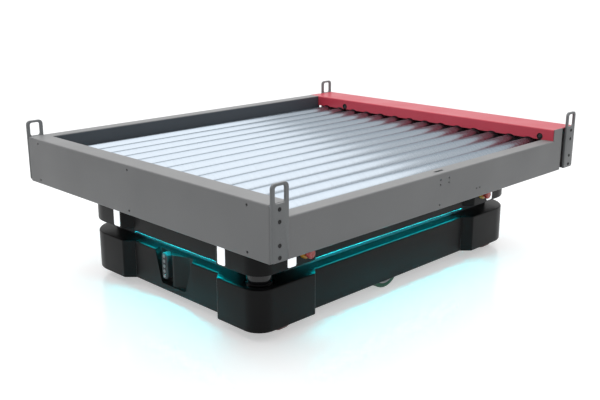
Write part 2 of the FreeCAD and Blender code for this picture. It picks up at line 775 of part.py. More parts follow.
def make_emergency_stops():
    """Yellow collars on the long faces of the towers, each with a red push head on a stem."""
    collars = []
    for index, (signs, arms) in enumerate(CORNERS, start=1):
        place = stop_place(signs, arms)
        face = f"({OUTER_Y} + stop_base_depth)"
        collars.append(ring("y", place, side(signs[1], OUTER_Y, face), "stop_base_radius",
                            "stop_stem_radius + shaft_clearance"))
        back = f"({face} + stop_stroke + stop_gap)"
        head = rod("y", place, side(signs[1], back, f"({back} + stop_head_depth)"), "stop_head_radius")
        stem = rod("y", place, side(signs[1], f"({OUTER_Y} - stop_stem_reach)", back), "stop_stem_radius")
        subpart(f"stop_head_{index}", fuse(head, stem))
    subpart("stop_collars", group(*collars))


def make_scanners():
    """The two safety scanners: a dark window drum in the gap of the corner, on a housing."""
    bodies = []
    for signs in SCANNER_CORNERS:
        drum = rod("z", scanner_axis(signs), (WING_TOP, "tower_bottom"), "scanner_radius")
        housing = block(side(signs[0], f"({CORE_X} - scanner_box)", CORE_X),
                        side(signs[1], f"({CORE_Y} - scanner_box)", CORE_Y), (WING_TOP, "bumper_top"))
        bodies.append(fuse(drum, housing))
    subpart("safety_scanners", group(*bodies))


# ---------------------------------------------------------------- base: running gear

def make_drive():
    """Two drive wheels on gear motors, each motor on an upright bracket."""
    motors = []
    for name, sign in (("right", -1), ("left", 1)):
        axis = ("drive_x", "drive_radius")
        wheel_back = "(drive_outer_y - drive_width)"
        wheel_span = side(sign, wheel_back, "drive_outer_y")
        rim = "(drive_radius - drive_tread)"
        tyre = ring("y", axis, wheel_span, "drive_radius", rim)
        hub = rod("y", axis, wheel_span, rim)
        shaft_end = f"({BRACKET_Y} - shaft_seat)"
        shaft = rod("y", axis, side(sign, shaft_end, wheel_back), "drive_shaft_radius")
        subpart(f"drive_wheel_{name}", group(tyre, fuse(hub, shaft)))
        bracket_y = side(sign, BRACKET_Y, f"({BRACKET_Y} + bracket_plate)")
        plate = block(around("drive_x", "bracket_half_length"), bracket_y,
                      (FLOOR_TOP, f"({FLOOR_TOP} + bracket_height)"))
        tongue = block(around("drive_x", "gearbox_radius"), bracket_y,
                       (f"({FLOOR_TOP} - bracket_tongue)", FLOOR_TOP))
        gearbox_back = f"({BRACKET_Y} - gearbox_length)"
        gearbox = rod("y", axis, side(sign, gearbox_back, BRACKET_Y), "gearbox_radius")
        motor = rod("y", axis, side(sign, f"({gearbox_back} - motor_length)", gearbox_back), "motor_radius")
        bore = rod("y", axis, past(side(sign, shaft_end, f"({BRACKET_Y} + bracket_plate)")),
                   "drive_shaft_radius + shaft_clearance")
        motors.append(cut(fuse(plate, tongue, gearbox, motor), bore))
    subpart("drive_gearmotors", group(*motors))


def make_casters():
    """Four swivel casters: a fixed flange with its race, a fork on a stem, and a wheel."""
    flanges = []
    names = ("front_right", "front_left", "rear_right", "rear_left")
    places = [(first, second) for first in (-1, 1) for second in (-1, 1)]
    leg_low = "(caster_width / 2 + fork_gap)"
    leg_high = "(caster_width / 2 + fork_gap + fork_plate)"
    race_bottom = f"({CROWN_TOP} + running_gap)"
    flange_bottom = f"({WING_FLOOR} - caster_flange)"
    for name, (first, second) in zip(names, places):
        mid_x, mid_y = at(first, "caster_x"), at(second, "caster_y")
        wheel_y = f"({mid_y} - caster_trail)"
        axis = (wheel_y, "caster_radius")
        flange = block(around(mid_x, "caster_flange_side / 2"), around(mid_y, "caster_flange_side / 2"),
                       (flange_bottom, WING_FLOOR))
        race = rod("z", (mid_x, mid_y), (race_bottom, flange_bottom), "caster_race_radius")
        bore = rod("z", (mid_x, mid_y), (f"({race_bottom} - overrun)", flange_bottom),
                   "caster_stem_radius + shaft_clearance")
        flanges.append(cut(fuse(flange, race), bore))
        run = (f"({wheel_y} - fork_width / 2)", f"({mid_y} + fork_overhang)")
        crown = block(around(mid_x, leg_high), run, ("(2 * caster_radius + crown_gap)", CROWN_TOP))
        legs = [block((f"({mid_x} + {low})", f"({mid_x} + {high})"),
                      (run[0], f"({wheel_y} + fork_width / 2)"),
                      ("(caster_radius - fork_width / 2)", "(2 * caster_radius + crown_gap)"))
                for low, high in (side(-1, leg_low, leg_high), side(1, leg_low, leg_high))]
        stem = rod("z", (mid_x, mid_y), (CROWN_TOP, f"({flange_bottom} - running_gap)"), "caster_stem_radius")
        axle_span = around(mid_x, leg_high)
        fork = cut(fuse(crown, stem, *legs), rod("x", axis, past(axle_span), "caster_axle_radius"))
        subpart(f"caster_fork_{name}", group(fork, rod("x", axis, axle_span, "caster_axle_radius")))
        rim = "(caster_radius - caster_tread)"
        wheel_span = around(mid_x, "caster_width / 2")
        tyre = ring("x", axis, wheel_span, "caster_radius", rim)
        hub = ring("x", axis, wheel_span, rim, "caster_axle_radius + shaft_clearance")
        subpart(f"caster_wheel_{name}", group(tyre, hub))
    subpart("caster_flanges", group(*flanges))


def make_insides():
    """The battery and the control computer on the tub floor."""
    for name in ("battery", "computer"):
        length, width, height = (f"{name}_{word}" for word in ("length", "width", "height"))
        case = block((f"{name}_x", f"({name}_x + {length})"), around("0", f"({width} / 2)"),
                     (FLOOR_TOP, f"({FLOOR_TOP} + {height})"))
        subpart(f"{name}_case", case)


# ---------------------------------------------------------------- roller module: plates

def lug_screw_axes():
    """The four lug screws at one corner, from the lowest up."""
    return [f"({base}{rise})" for base in ("lug_screw_low", "lug_screw_high")
            for rise in ("", " + lug_screw_span")]


def lug_screws(signs, span, radius):
    """A rod along each lug screw of one corner."""
    return [rod("y", (at(signs[0], LUG_SCREW_X), level), span, radius) for level in lug_screw_axes()]


def folded(plane, points, span, outer=(), inner=()):
    """A folded sheet in section, padded across; outer and inner number the corners of its bends."""
    return outline(plane, points, span, rounds=[(corner, BEND) for corner in outer]
                   + [(corner, "bend_radius") for corner in inner])


def channel(plane, wall, foot, lip, levels, span):
    """A folded plate in section: an upright wall with a foot and, where lip is given, a top flange.

    wall holds its outer and inner face, foot and lip the free ends of the flanges, and levels
    the underside and the top.
    """
    outer, inner = wall
    low, high = levels
    step = f"({low} + sheet)"
    points = [(outer, low), (foot, low), (foot, step), (inner, step)]
    if lip is None:
        return folded(plane, points + [(inner, high), (outer, high)], span, outer=[0], inner=[3])
    under = f"({high} - sheet)"
    points += [(inner, under), (lip, under), (lip, high), (outer, high)]
    return folded(plane, points, span, outer=[0, 7], inner=[3, 4])


def end_faces(sign):
    """The outer and the inner face of an end plate's wall."""
    return (at(sign, END_X), at(sign, f"({END_X} - sheet)"))


def end_returns(sign, levels):
    """The wall of an end plate in plan, with a return flange folded in at each end."""
    outer, inner = end_faces(sign)
    free = at(sign, f"({END_X} - return_flange)")
    back = f"({LUG_BACK} - sheet)"
    points = [(outer, minus(LUG_BACK)), (outer, LUG_BACK), (free, LUG_BACK), (free, back), (inner, back),
              (inner, minus(back)), (free, minus(back)), (free, minus(LUG_BACK))]
    return folded("xy", points, levels, outer=[0, 1], inner=[4, 5])


def end_plate_tools(sign):
    """The holes of an end plate: six in its wall and four for the screws of each lug."""
    span = past(side(sign, f"({END_X} - sheet)", END_X))
    holes = [rod("x", (f"(end_hole_y + {step} * ({SIDE_Y} - end_hole_edge))", level), span, "end_hole_radius")
             for step in (-1, 0, 1) for level in ("end_hole_low", "(end_hole_low + end_hole_span)")]
    for turn in (-1, 1):
        holes += lug_screws((sign, turn), past(side(turn, f"({LUG_BACK} - sheet)", LUG_BACK)), "screw_radius")
    return holes


def make_end_plates():
    """The front end plate with its top flange, and the rear one under the drive cover."""
    shoulder = f"({LUG_BACK} - {BEND})"
    front = fuse(
        channel("xz", end_faces(-1), RAIL_LEFT, f"(end_flange - {END_X})", ("deck_height", "module_top"),
                (minus(shoulder), FAR_FACE)),
        channel("xz", end_faces(-1), RAIL_LEFT, None, ("deck_height", "module_top"), (FAR_FACE, shoulder)),
        end_returns(-1, (f"(deck_height + {BEND})", f"(module_top - {BEND})")))
    subpart("front_end_plate", cut(front, *end_plate_tools(-1)))
    rear = fuse(
        channel("xz", end_faces(1), f"({END_X} - side_foot)", None, ("deck_height", SHEET_TOP),
                (minus(shoulder), shoulder)),
        end_returns(1, (f"(deck_height + {BEND})", SHEET_TOP)))
    subpart("rear_end_plate", cut(rear, *end_plate_tools(1)))


def side_run():
    """How far the side plates reach along the module."""
    return (f"(side_start - {END_X})", f"({END_X} - side_stop)")


def make_low_side_plate():
    """The low folded plate on the loading side, with its accessory holes and raised end."""
    wall = (minus(SIDE_Y), f"(sheet - {SIDE_Y})")
    foot = f"(side_foot - {SIDE_Y})"
    start, stop = side_run()
    step = f"({RED_X} + sheet)"
    plate = fuse(
        channel("yz", wall, foot, f"(low_flange - {SIDE_Y})", ("deck_height", "low_side_top"), (start, step)),
        channel("yz", wall, foot, None, ("deck_height", "module_top"), (step, stop)))
    through = past(wall)
    holes = [rod("y", (f"(tool_hole_x + {turn} * tool_hole_span_x / 2)", level), through, "tool_hole_radius")
             for turn in (-1, 1) for level in ("tool_hole_low", "(tool_hole_low + tool_hole_span_z)")]
    holes += [rod("y", (f"(pair_hole_x + {turn} * pair_hole_span / 2)", "pair_hole_z"), through,
                  "tool_hole_radius") for turn in (-1, 1)]
    holes.append(rod("y", ("single_hole_x", "single_hole_z"), through, "tool_hole_radius"))
    slot = block(around("slot_x", "(slot_length / 2)"),
                 around(f"(slot_inset - {SIDE_Y})", "(slot_width / 2)"),
                 past(("(low_side_top - sheet)", "low_side_top")))
    subpart("low_side_plate", cut(plate, *holes, slot))


def make_far_side_plates():
    """The tall folded plate across the bed, and the dark guide panel on its inner side."""
    wall = (SIDE_Y, f"({SIDE_Y} - sheet)")
    foot = f"({SIDE_Y} - side_foot)"
    levels = ("deck_height", "module_top")
    start, stop = side_run()
    tongue = block((f"(sheet - {END_X})", start), (FAR_FACE, f"({SIDE_Y} - {BEND})"),
                   (SHEET_TOP, "module_top"))
    subpart("far_side_plate", fuse(channel("yz", wall, foot, FAR_FACE, levels, (start, RED_X)),
                                   channel("yz", wall, foot, None, levels, (RED_X, stop)), tongue))
    panel = channel("yz", (FAR_FACE, f"({FAR_FACE} + sheet)"), f"({FAR_FACE} + guide_foot)", None,
                    (FRAME_TOP, SHEET_TOP), (f"(end_flange - {END_X})", RED_X))
    subpart("far_guide_panel", panel)


def bed_axes():
    """The height and the place across the bed of each roller axis, from the far side."""
    count = int(number("roller_count"))
    return [(f"({SIDE_Y} - bed_far_margin - {index} * {BED_PITCH})", ROLLER_Z) for index in range(count)]


def eye_places():
    """Where the two photo eyes look across the bed."""
    return [(f"({SIDE_Y} - eye_far_inset)", "eye_level"), (f"(eye_near_inset - {SIDE_Y})", "eye_level")]


def make_drive_cover():
    """The red cover over the drive side: a top and a face notched round each roller."""
    back = f"({RED_X} + sheet)"
    lower = "(low_side_top + running_gap)"
    face = folded("xz", [(RED_X, lower), (RED_X, "module_top"), (END_X, "module_top"), (END_X, SHEET_TOP),
                         (back, SHEET_TOP), (back, lower)],
                  (f"(sheet - {SIDE_Y})", FAR_FACE), outer=[1], inner=[4])
    roof = block((RED_X, END_X), (FAR_FACE, f"({SIDE_Y} - sheet)"), (SHEET_TOP, "module_top"))
    through = past((RED_X, back))
    notches = [rod("x", axis, through, "roller_radius + notch_clearance") for axis in bed_axes()]
    eyes = [rod("x", place, through, "eye_radius + shaft_clearance") for place in eye_places()]
    subpart("drive_cover", cut(fuse(roof, face), *notches, *eyes))
    sensors = []
    for place in eye_places():
        barrel = rod("x", place, (f"({RED_X} - eye_rim)", f"({RED_X} + eye_depth)"), "eye_radius")
        well = rod("x", place, (f"({RED_X} - eye_rim - overrun)", f"({RED_X} + eye_rim)"), "eye_lens_radius")
        sensors.append(cut(barrel, well))
    subpart("photo_eyes", group(*sensors))


def make_lugs():
    """Four lifting lugs with a rounded eye, and their screws."""
    lugs = []
    screws = []
    for signs in [(first, second) for first in (-1, 1) for second in (-1, 1)]:
        outer, inner = at(signs[0], END_X), at(signs[0], f"({END_X} - lug_width)")
        span = side(signs[1], LUG_BACK, LUG_FACE)
        plate = outline("xz", [(outer, "lug_bottom"), (inner, "lug_bottom"), (inner, "lug_top"),
                               (outer, "lug_top")],
                        span, rounds=[(2, "lug_round"), (3, "lug_round"), (0, "lug_foot_round")])
        middle = at(signs[0], f"({END_X} - lug_width / 2)")
        left, right = around(middle, "lug_eye_width / 2")
        eye_top = "(lug_top - lug_eye_edge)"
        eye_low = "(lug_top - lug_eye_edge - lug_eye_height)"
        eye = outline("xz", [(left, eye_low), (right, eye_low), (right, eye_top), (left, eye_top)],
                      past(span), rounds=[(corner, "lug_eye_round") for corner in range(4)])
        lugs.append(cut(plate, eye, *lug_screws(signs, past(span), "screw_radius")))
        heads = side(signs[1], LUG_FACE, f"({LUG_FACE} + screw_head)")
        shanks = side(signs[1], f"({LUG_FACE} - screw_reach)", LUG_FACE)
        sockets = side(signs[1], f"({LUG_FACE} + socket_floor)", f"({LUG_FACE} + screw_head + overrun)")
        for head, shank, socket in zip(lug_screws(signs, heads, "screw_head_radius"),
                                       lug_screws(signs, shanks, "screw_radius"),
                                       lug_screws(signs, sockets, "screw_socket")):
            screws.append(cut(fuse(head, shank), socket))
    subpart("lifting_lugs", group(*lugs))
    subpart("lug_screws", group(*screws))


# ---------------------------------------------------------------- roller module: frame and rollers

def make_frame():
    """The welded frame on the deck: square tubes and two upright rails that hold the axles."""
    reach = f"({SIDE_Y} - side_foot)"
    crosses = [(LEFT_RAIL_FACE, f"({LEFT_RAIL_FACE} + tube_width)"), around("0", "(tube_width / 2)"),
               (f"({RAIL_RIGHT} - tube_width)", RAIL_RIGHT)]
    levels = ("deck_height", FRAME_TOP)
    walls = [block(span, (minus(reach), reach), levels) for span in crosses]
    voids = [block(within(span, "tube_wall"), past((minus(reach), reach)), within(levels, "tube_wall"))
             for span in crosses]
    run = (crosses[0][0], crosses[2][1])
    for sign in (-1, 1):
        across = around(at(sign, "long_tube_y"), "(tube_width / 2)")
        walls.append(block(run, across, levels))
        voids.append(block(*[within(span, "tube_wall") for span in (run, across, levels)]))
    rail_y = around(BED_Y, f"({BED_SPAN} / 2 + roller_radius + rail_end_gap)")
    stretches = [(RAIL_LEFT, LEFT_RAIL_FACE), (RAIL_RIGHT, RIGHT_RAIL_FACE)]
    rails = [block(span, rail_y, ("deck_height", "rail_top")) for span in stretches]
    bores = [rod("x", axis, past(span), "axle_radius") for axis in bed_axes() for span in stretches]
    subpart("conveyor_frame", cut(fuse(*walls, *rails), fuse(*voids), fuse(*bores)))


def make_rollers():
    """The rollers, each a tube with two bearing caps and a belt pulley, on a fixed axle."""
    axles = []
    bore = "axle_radius + shaft_clearance"
    inner = "roller_radius - roller_wall"
    ends = [(ROLLER_START, f"({ROLLER_START} + roller_cap)"), (f"({ROLLER_STOP} - roller_cap)", ROLLER_STOP)]
    for index, axis in enumerate(bed_axes(), start=1):
        tube = ring("x", axis, (ROLLER_START, ROLLER_STOP), "roller_radius", inner)
        caps = [ring("x", axis, span, inner, bore) for span in ends]
        pulley = ring("x", axis, (ROLLER_STOP, f"({ROLLER_STOP} + pulley_length)"), "pulley_radius", bore)
        subpart(f"roller_{index:02d}", group(tube, *caps, pulley))
        axles.append(rod("x", axis, (RAIL_LEFT, RIGHT_RAIL_FACE), "axle_radius"))
    driven = int(number("roller_count")) // 2
    start = f"({ROLLER_START} + roller_cap + motor_gap)"
    axles.append(ring("x", bed_axes()[driven - 1], (start, f"({start} + motor_roller_length)"),
                      "motor_roller_radius", "axle_radius"))
    subpart("roller_axles", group(*axles))


def make_belts():
    """The belt loops that carry the drive from each roller to the next, on two tracks."""
    belts = []
    axes = bed_axes()
    tracks = (f"({ROLLER_STOP} + belt_gap)", f"({ROLLER_STOP} + 2 * belt_gap + belt_width)")
    inner = "(pulley_radius + belt_clearance)"
    for index, (upper, lower) in enumerate(zip(axes, axes[1:])):
        body = DOC.addObject("PartDesign::Body", "body")
        sketch = new_sketch(body, "YZ_Plane", tracks[index % 2])
        for radius in (f"({inner} + belt_thickness)", inner):
            slot_line(sketch, lower[0], upper[0], ROLLER_Z, radius)
        pad(body, sketch, "belt_width")
        belts.append(body)
    subpart("drive_belts", group(*belts))


# ---------------------------------------------------------------- build, check and export

def check(things):
    """Stop on any feature that failed and on any sub-part without a valid solid."""
    for thing in DOC.Objects:
        if {"Invalid", "Error"} & set(thing.State):
            raise RuntimeError(f"{thing.Name} ({thing.Label}) did not build: {thing.State}")
    for thing in things:
        shape = thing.Shape
        if shape.isNull() or not shape.isValid() or not shape.Solids:
            raise RuntimeError(f"{thing.Label} has no valid solid")


def main():
    """Build every sub-part, check it and write its file."""
    make_chassis()
    make_insides()
    make_drive()
    make_casters()
    make_bumpers()
    make_side_panels()
    make_end_panels()
    make_keypad()
    make_upper_cover()
    make_light_strips()
    make_emergency_stops()
    make_scanners()
    make_end_plates()
    make_low_side_plate()
    make_far_side_plates()
    make_drive_cover()
    make_lugs()
    make_frame()
    make_rollers()
    make_belts()
    DOC.recompute()
    check(SUBPARTS)
    os.makedirs("parts", exist_ok=True)
    for thing in SUBPARTS:
        thing.Shape.exportStep(os.path.join("parts", f"{thing.Label}.step"))
        print(f"{thing.Label}: {len(thing.Shape.Solids)} solids, {thing.Shape.Volume / 1000:.1f} cm3")


main()
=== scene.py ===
"""Looks of a low mobile robot that carries a powered roller bed.

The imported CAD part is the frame.  Moulded shells, lamps, wheels, rollers, lugs, screws and
push heads are new surfaces worked out here; the folded plates and the inner structure keep
their CAD shape and get procedural finishes.
"""
import logging
import math
from dataclasses import dataclass, field
from enum import Enum

import bmesh
import bpy
import numpy as np
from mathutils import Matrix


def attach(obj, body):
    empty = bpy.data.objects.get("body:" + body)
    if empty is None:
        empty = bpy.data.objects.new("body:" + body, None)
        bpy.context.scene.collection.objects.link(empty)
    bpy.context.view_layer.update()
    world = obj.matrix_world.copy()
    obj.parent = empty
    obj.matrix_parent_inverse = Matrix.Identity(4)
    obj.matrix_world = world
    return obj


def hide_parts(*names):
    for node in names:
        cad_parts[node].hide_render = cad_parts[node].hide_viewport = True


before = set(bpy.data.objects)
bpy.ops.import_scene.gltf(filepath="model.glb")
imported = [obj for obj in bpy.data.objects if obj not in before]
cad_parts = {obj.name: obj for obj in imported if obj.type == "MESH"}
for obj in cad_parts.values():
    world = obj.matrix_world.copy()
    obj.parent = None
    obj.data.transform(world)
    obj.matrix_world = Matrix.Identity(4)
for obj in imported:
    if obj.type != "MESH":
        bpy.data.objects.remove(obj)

Array = np.ndarray
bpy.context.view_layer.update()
LOG = logging.getLogger("mobile_robot")


# ------------------------------------------------------------------ surfaces


class Axis(Enum):
    """Row axis that a turned or raised piece stands along."""

    X = 0
    Y = 1
    Z = 2

    @property
    def others(self) -> tuple[int, int]:
        """The two other row axes, in order."""
        return tuple(index for index in range(3) if index != self.value)


def arc(start: float, stop: float, count: int) -> Array:
    """Angles in radians from start to stop in degrees, both ends included."""
    return np.radians(np.linspace(start, stop, count))


def rounded_path(corners: Array, radii: list[float], closed: bool, steps: int = 8) -> Array:
    """Trace straight runs joined by circular arcs.

    Each corner gives up a length of radius times tan(half the turn) on both sides, and the
    arc between those two points is centre + radius * (cos, sin) of an even run of angles.

    Args:
        corners: Corner points, one row each, in metres.
        radii: Radius at each corner; 0 keeps the point sharp.
        closed: Whether the last corner joins the first.
        steps: Number of equal steps in each arc.

    Returns:
        The points of the path, one row each.
    """
    corners = np.asarray(corners, float)
    count = len(corners)
    runs = []
    for index, (corner, radius) in enumerate(zip(corners, radii)):
        if radius == 0 or (not closed and index in (0, count - 1)):
            runs.append(corner[None])
            continue
        back = corners[index - 1] - corner
        ahead = corners[(index + 1) % count] - corner
        back, ahead = back / np.linalg.norm(back), ahead / np.linalg.norm(ahead)
        half = 0.5 * math.acos(float(np.clip(back @ ahead, -1, 1)))
        bisector = (back + ahead) / np.linalg.norm(back + ahead)
        centre = corner + bisector * radius / math.sin(half)
        first = corner + back * radius / math.tan(half) - centre
        last = corner + ahead * radius / math.tan(half) - centre
        begin = math.atan2(first[1], first[0])
        sweep = math.atan2(first[0] * last[1] - first[1] * last[0], first @ last)
        angles = begin + sweep * np.linspace(0, 1, steps + 1)
        runs.append(centre + radius * np.stack([np.cos(angles), np.sin(angles)], 1))
    return np.concatenate(runs)


def offset_path(path: Array, distance: float, closed: bool) -> Array:
    """Move every point of a path to its left, at right angles to the path.

    The normal is the mean of the two neighbouring runs' normals, lengthened by one over
    the cosine of half the turn so that parallel runs stay the stated distance apart.

    Args:
        path: Points, one row each.
        distance: Distance to move, in metres; negative moves right.
        closed: Whether the path is a loop.

    Returns:
        The moved points.
    """
    runs = np.roll(path, -1, 0) - path
    if not closed:
        runs[-1] = runs[-2]
    runs = runs / np.maximum(np.linalg.norm(runs, axis=1, keepdims=True), 1e-12)
    before = np.roll(runs, 1, 0)
    if not closed:
        before[0] = runs[0]
    normals = np.stack([-(runs + before)[:, 1], (runs + before)[:, 0]], 1)
    normals /= np.maximum(np.linalg.norm(normals, axis=1, keepdims=True), 1e-12)
    cosine = np.clip(-normals[:, 0] * runs[:, 1] + normals[:, 1] * runs[:, 0], 0.5, 1)
    return path + normals * (distance / cosine)[:, None]


def edge_profile(low: float, high: float, round_low: float, round_high: float, steps: int = 5) -> Array:
    """Inset and height along a wall with a quarter round at its foot and at its head.

    Args:
        low: Height of the foot.
        high: Height of the head.
        round_low: Radius at the foot.
        round_high: Radius at the head.
        steps: Number of points in each quarter round.

    Returns:
        Rows of (inset, height), from the foot up.
    """
    foot, head = arc(-90, 0, steps), arc(0, 90, steps)
    return np.concatenate([
        np.stack([round_low * (1 - np.cos(foot)), low + round_low * (1 + np.sin(foot))], 1),
        np.stack([round_high * (1 - np.cos(head)), high - round_high * (1 - np.sin(head))], 1)])


def raise_path(path: Array, height: float | Array, axis: Axis = Axis.Z) -> Array:
    """Place a plane path in space at a height along an axis."""
    points = np.empty((len(path), 3))
    points[:, axis.others] = path
    points[:, axis.value] = height
    return points


@dataclass
class Shape:
    """Points and faces that grow into one mesh."""

    points: list[Array] = field(default_factory=list)
    faces: list[list[int]] = field(default_factory=list)
    count: int = 0

    def grid(self, rows: Array, loop_rows: bool = False, loop_columns: bool = False,
             lids: bool = False) -> "Shape":
        """Add a surface given on a grid of two parameters.

        Args:
            rows: Points as (first parameter, second parameter, 3).
            loop_rows: Whether the last row joins the first.
            loop_columns: Whether the last column joins the first.
            lids: Whether the first and last rows are closed by a fan to their middle.

        Returns:
            This shape.
        """
        height, width = rows.shape[:2]
        row = np.arange(height if loop_rows else height - 1)[:, None]
        column = np.arange(width if loop_columns else width - 1)[None]
        below, right = (row + 1) % height, (column + 1) % width
        quads = np.stack(np.broadcast_arrays(row * width + column, row * width + right,
                                             below * width + right, below * width + column), -1)
        self.faces += (quads.reshape(-1, 4) + self.count).tolist()
        self.points.append(rows.reshape(-1, 3))
        if lids:
            self._fan(self.count + np.arange(width), rows[0].mean(0), height * width, True)
            self._fan(self.count + (height - 1) * width + np.arange(width), rows[-1].mean(0),
                      height * width + 1, False)
            self.count += 2
        self.count += height * width
        return self

    def _fan(self, rim: Array, middle: Array, slot: int, turned: bool) -> None:
        """Close a rim with triangles to its middle point.

        Args:
            rim: Numbers of the rim's points, in order.
            middle: The middle point.
            slot: Number of the middle point, counted from this surface's first point.
            turned: Whether the triangles run the other way round.
        """
        self.points.append(middle[None])
        centre = np.full(len(rim), self.count + slot)
        pair = (np.roll(rim, -1), rim) if turned else (rim, np.roll(rim, -1))
        self.faces += np.stack([pair[0], pair[1], centre], 1).tolist()

    def build(self, name: str, shell: bool = False) -> bpy.types.Object:
        """Turn the shape into an object at the origin.

        Args:
            name: Name of the piece.
            shell: Whether the shape is an open sheet whose faces already point outwards.

        Returns:
            The new object, shaded smooth with sharp edges past 35 degrees.
        """
        mesh = bpy.data.meshes.new(name)
        mesh.from_pydata(np.concatenate(self.points).tolist(), [], self.faces)
        work = bmesh.new()
        work.from_mesh(mesh)
        bmesh.ops.remove_doubles(work, verts=work.verts, dist=1e-6)
        bmesh.ops.dissolve_degenerate(work, edges=work.edges, dist=1e-7)
        if not shell:
            bmesh.ops.recalc_face_normals(work, faces=work.faces)
        work.to_mesh(mesh)
        work.free()
        soften(mesh)
        piece = bpy.data.objects.new(name, mesh)
        bpy.context.scene.collection.objects.link(piece)
        return piece


def soften(mesh: bpy.types.Mesh, degrees: float = 35.0) -> None:
    """Shade a mesh smooth, and keep edges sharper than the angle crisp."""
    mesh.shade_smooth()
    mesh.set_sharp_from_angle(angle=math.radians(degrees))


def turned(profile: Array, centre: tuple[float, float], axis: Axis, segments: int = 48,
           ring: bool = False, shape: Shape | None = None) -> Shape:
    """Turn a profile about an axis: centre + radius * (cos, sin) of the angle.

    Args:
        profile: Rows of (place along the axis, radius).
        centre: The axis's place on the two other row axes.
        axis: Row axis of the turning.
        segments: Number of steps round.
        ring: Whether the profile is a loop, for a piece with a bore.
        shape: Shape to add to; a new one if left out.

    Returns:
        The shape with the turned surface added.
    """
    angle = np.linspace(0, 2 * math.pi, segments, endpoint=False)
    rows = np.empty((len(profile), segments, 3))
    rows[..., axis.value] = profile[:, :1]
    rows[..., axis.others[0]] = centre[0] + profile[:, 1:] * np.cos(angle)
    rows[..., axis.others[1]] = centre[1] + profile[:, 1:] * np.sin(angle)
    return (shape or Shape()).grid(rows, loop_rows=ring, loop_columns=True, lids=not ring)


def raised(loop: Array, axis: Axis, low: float, high: float, edge: tuple[float, float],
           shape: Shape | None = None) -> Shape:
    """Raise a closed outline into a plate whose rims are rounded.

    Args:
        loop: Outline points, anticlockwise on the two other row axes.
        axis: Row axis that the plate's thickness lies along.
        low: Start of the thickness.
        high: End of the thickness.
        edge: Radius of the rim at low and at high.
        shape: Shape to add to; a new one if left out.

    Returns:
        The shape with the plate added.
    """
    rows = [raise_path(offset_path(loop, inset, True), height, axis)
            for inset, height in edge_profile(low, high, *edge, steps=4)]
    return (shape or Shape()).grid(np.array(rows), loop_columns=True, lids=True)


def rectangle(low: tuple[float, float], high: tuple[float, float], radius: float, steps: int = 6) -> Array:
    """Anticlockwise outline of a rectangle with round corners."""
    corners = [low, (high[0], low[1]), high, (low[0], high[1])]
    return rounded_path(np.array(corners), [radius] * 4, True, steps)


def soft_box(low: tuple[float, ...], high: tuple[float, ...], radius: float, axis: Axis,
             shape: Shape | None = None) -> Shape:
    """A box with every edge rounded, raised along an axis."""
    flat_low = tuple(low[index] for index in axis.others)
    flat_high = tuple(high[index] for index in axis.others)
    loop = rectangle(flat_low, flat_high, radius * 1.5)
    return raised(loop, axis, low[axis.value], high[axis.value], (radius, radius), shape)


def applied(piece: bpy.types.Object) -> bpy.types.Object:
    """Bake a piece's modifiers into its mesh."""
    bpy.context.view_layer.update()
    graph = bpy.context.evaluated_depsgraph_get()
    mesh = bpy.data.meshes.new_from_object(piece.evaluated_get(graph))
    piece.modifiers.clear()
    piece.data = mesh
    return piece


def thickened(piece: bpy.types.Object, wall: float) -> bpy.types.Object:
    """Give an open sheet a wall behind its outer face."""
    solid = piece.modifiers.new("wall", "SOLIDIFY")
    solid.thickness = wall
    solid.offset = -1.0
    return applied(piece)


def carved(piece: bpy.types.Object, cutter: bpy.types.Object) -> bpy.types.Object:
    """Take a closed cutter away from a piece, and remove the cutter."""
    cut = piece.modifiers.new("cut", "BOOLEAN")
    cut.operation = "DIFFERENCE"
    cut.solver = "EXACT"
    cut.object = cutter
    applied(piece)
    bpy.data.objects.remove(cutter, do_unlink=True)
    soften(piece.data)
    return piece


# ------------------------------------------------------------------ node wiring


class Wiring:
    """Adds nodes to a tree and joins them by name."""

    def __init__(self, tree: bpy.types.NodeTree) -> None:
        """Start on an empty tree."""
        self.tree = tree
        tree.nodes.clear()

    def add(self, kind: str, **settings: object) -> bpy.types.Node:
        """Add a node and set its properties.

        Args:
            kind: Node type without the ShaderNode prefix.
            **settings: Property values of the node.

        Returns:
            The node.
        """
        prefix = "" if kind.startswith("NodeGroup") else "ShaderNode"
        node = self.tree.nodes.new(prefix + kind)
        for name, value in settings.items():
            setattr(node, name, value)
        return node

    def join(self, source: bpy.types.NodeSocket, node: bpy.types.Node, socket: str | int) -> None:
        """Link an output to a node's input."""
        self.tree.links.new(source, node.inputs[socket])

    def math(self, operation: str, first: object, second: object = 0.0) -> bpy.types.NodeSocket:
        """A Math node.

        Args:
            operation: Name of the operation.
            first: A socket or a number.
            second: A socket or a number.

        Returns:
            The result socket.
        """
        node = self.add("Math", operation=operation)
        for index, value in enumerate((first, second)):
            if isinstance(value, bpy.types.NodeSocket):
                self.join(value, node, index)
            else:
                node.inputs[index].default_value = value
        return node.outputs[0]

    def spread(self, source: bpy.types.NodeSocket, span: tuple[float, float],
               onto: tuple[float, float]) -> bpy.types.NodeSocket:
        """Map one span of values onto another, held at the ends."""
        node = self.add("MapRange")
        self.join(source, node, "Value")
        for name, value in zip(("From Min", "From Max", "To Min", "To Max"), (*span, *onto)):
            node.inputs[name].default_value = value
        return node.outputs["Result"]

    def blend(self, mask: bpy.types.NodeSocket, low: object, high: object) -> bpy.types.NodeSocket:
        """Mix two colours, each a socket or a colour, by a mask."""
        node = self.add("Mix", data_type="RGBA")
        self.join(mask, node, 0)
        for index, value in ((6, low), (7, high)):
            if isinstance(value, bpy.types.NodeSocket):
                self.join(value, node, index)
            else:
                node.inputs[index].default_value = (*value, 1.0)
        return node.outputs[2]


class Effect(Enum):
    """Surface effects shared by several finishes."""

    PEEL = "powder_peel"
    BRUSH = "brushed_lines"
    SCUFF = "scuff_marks"
    DUST = "settled_dust"


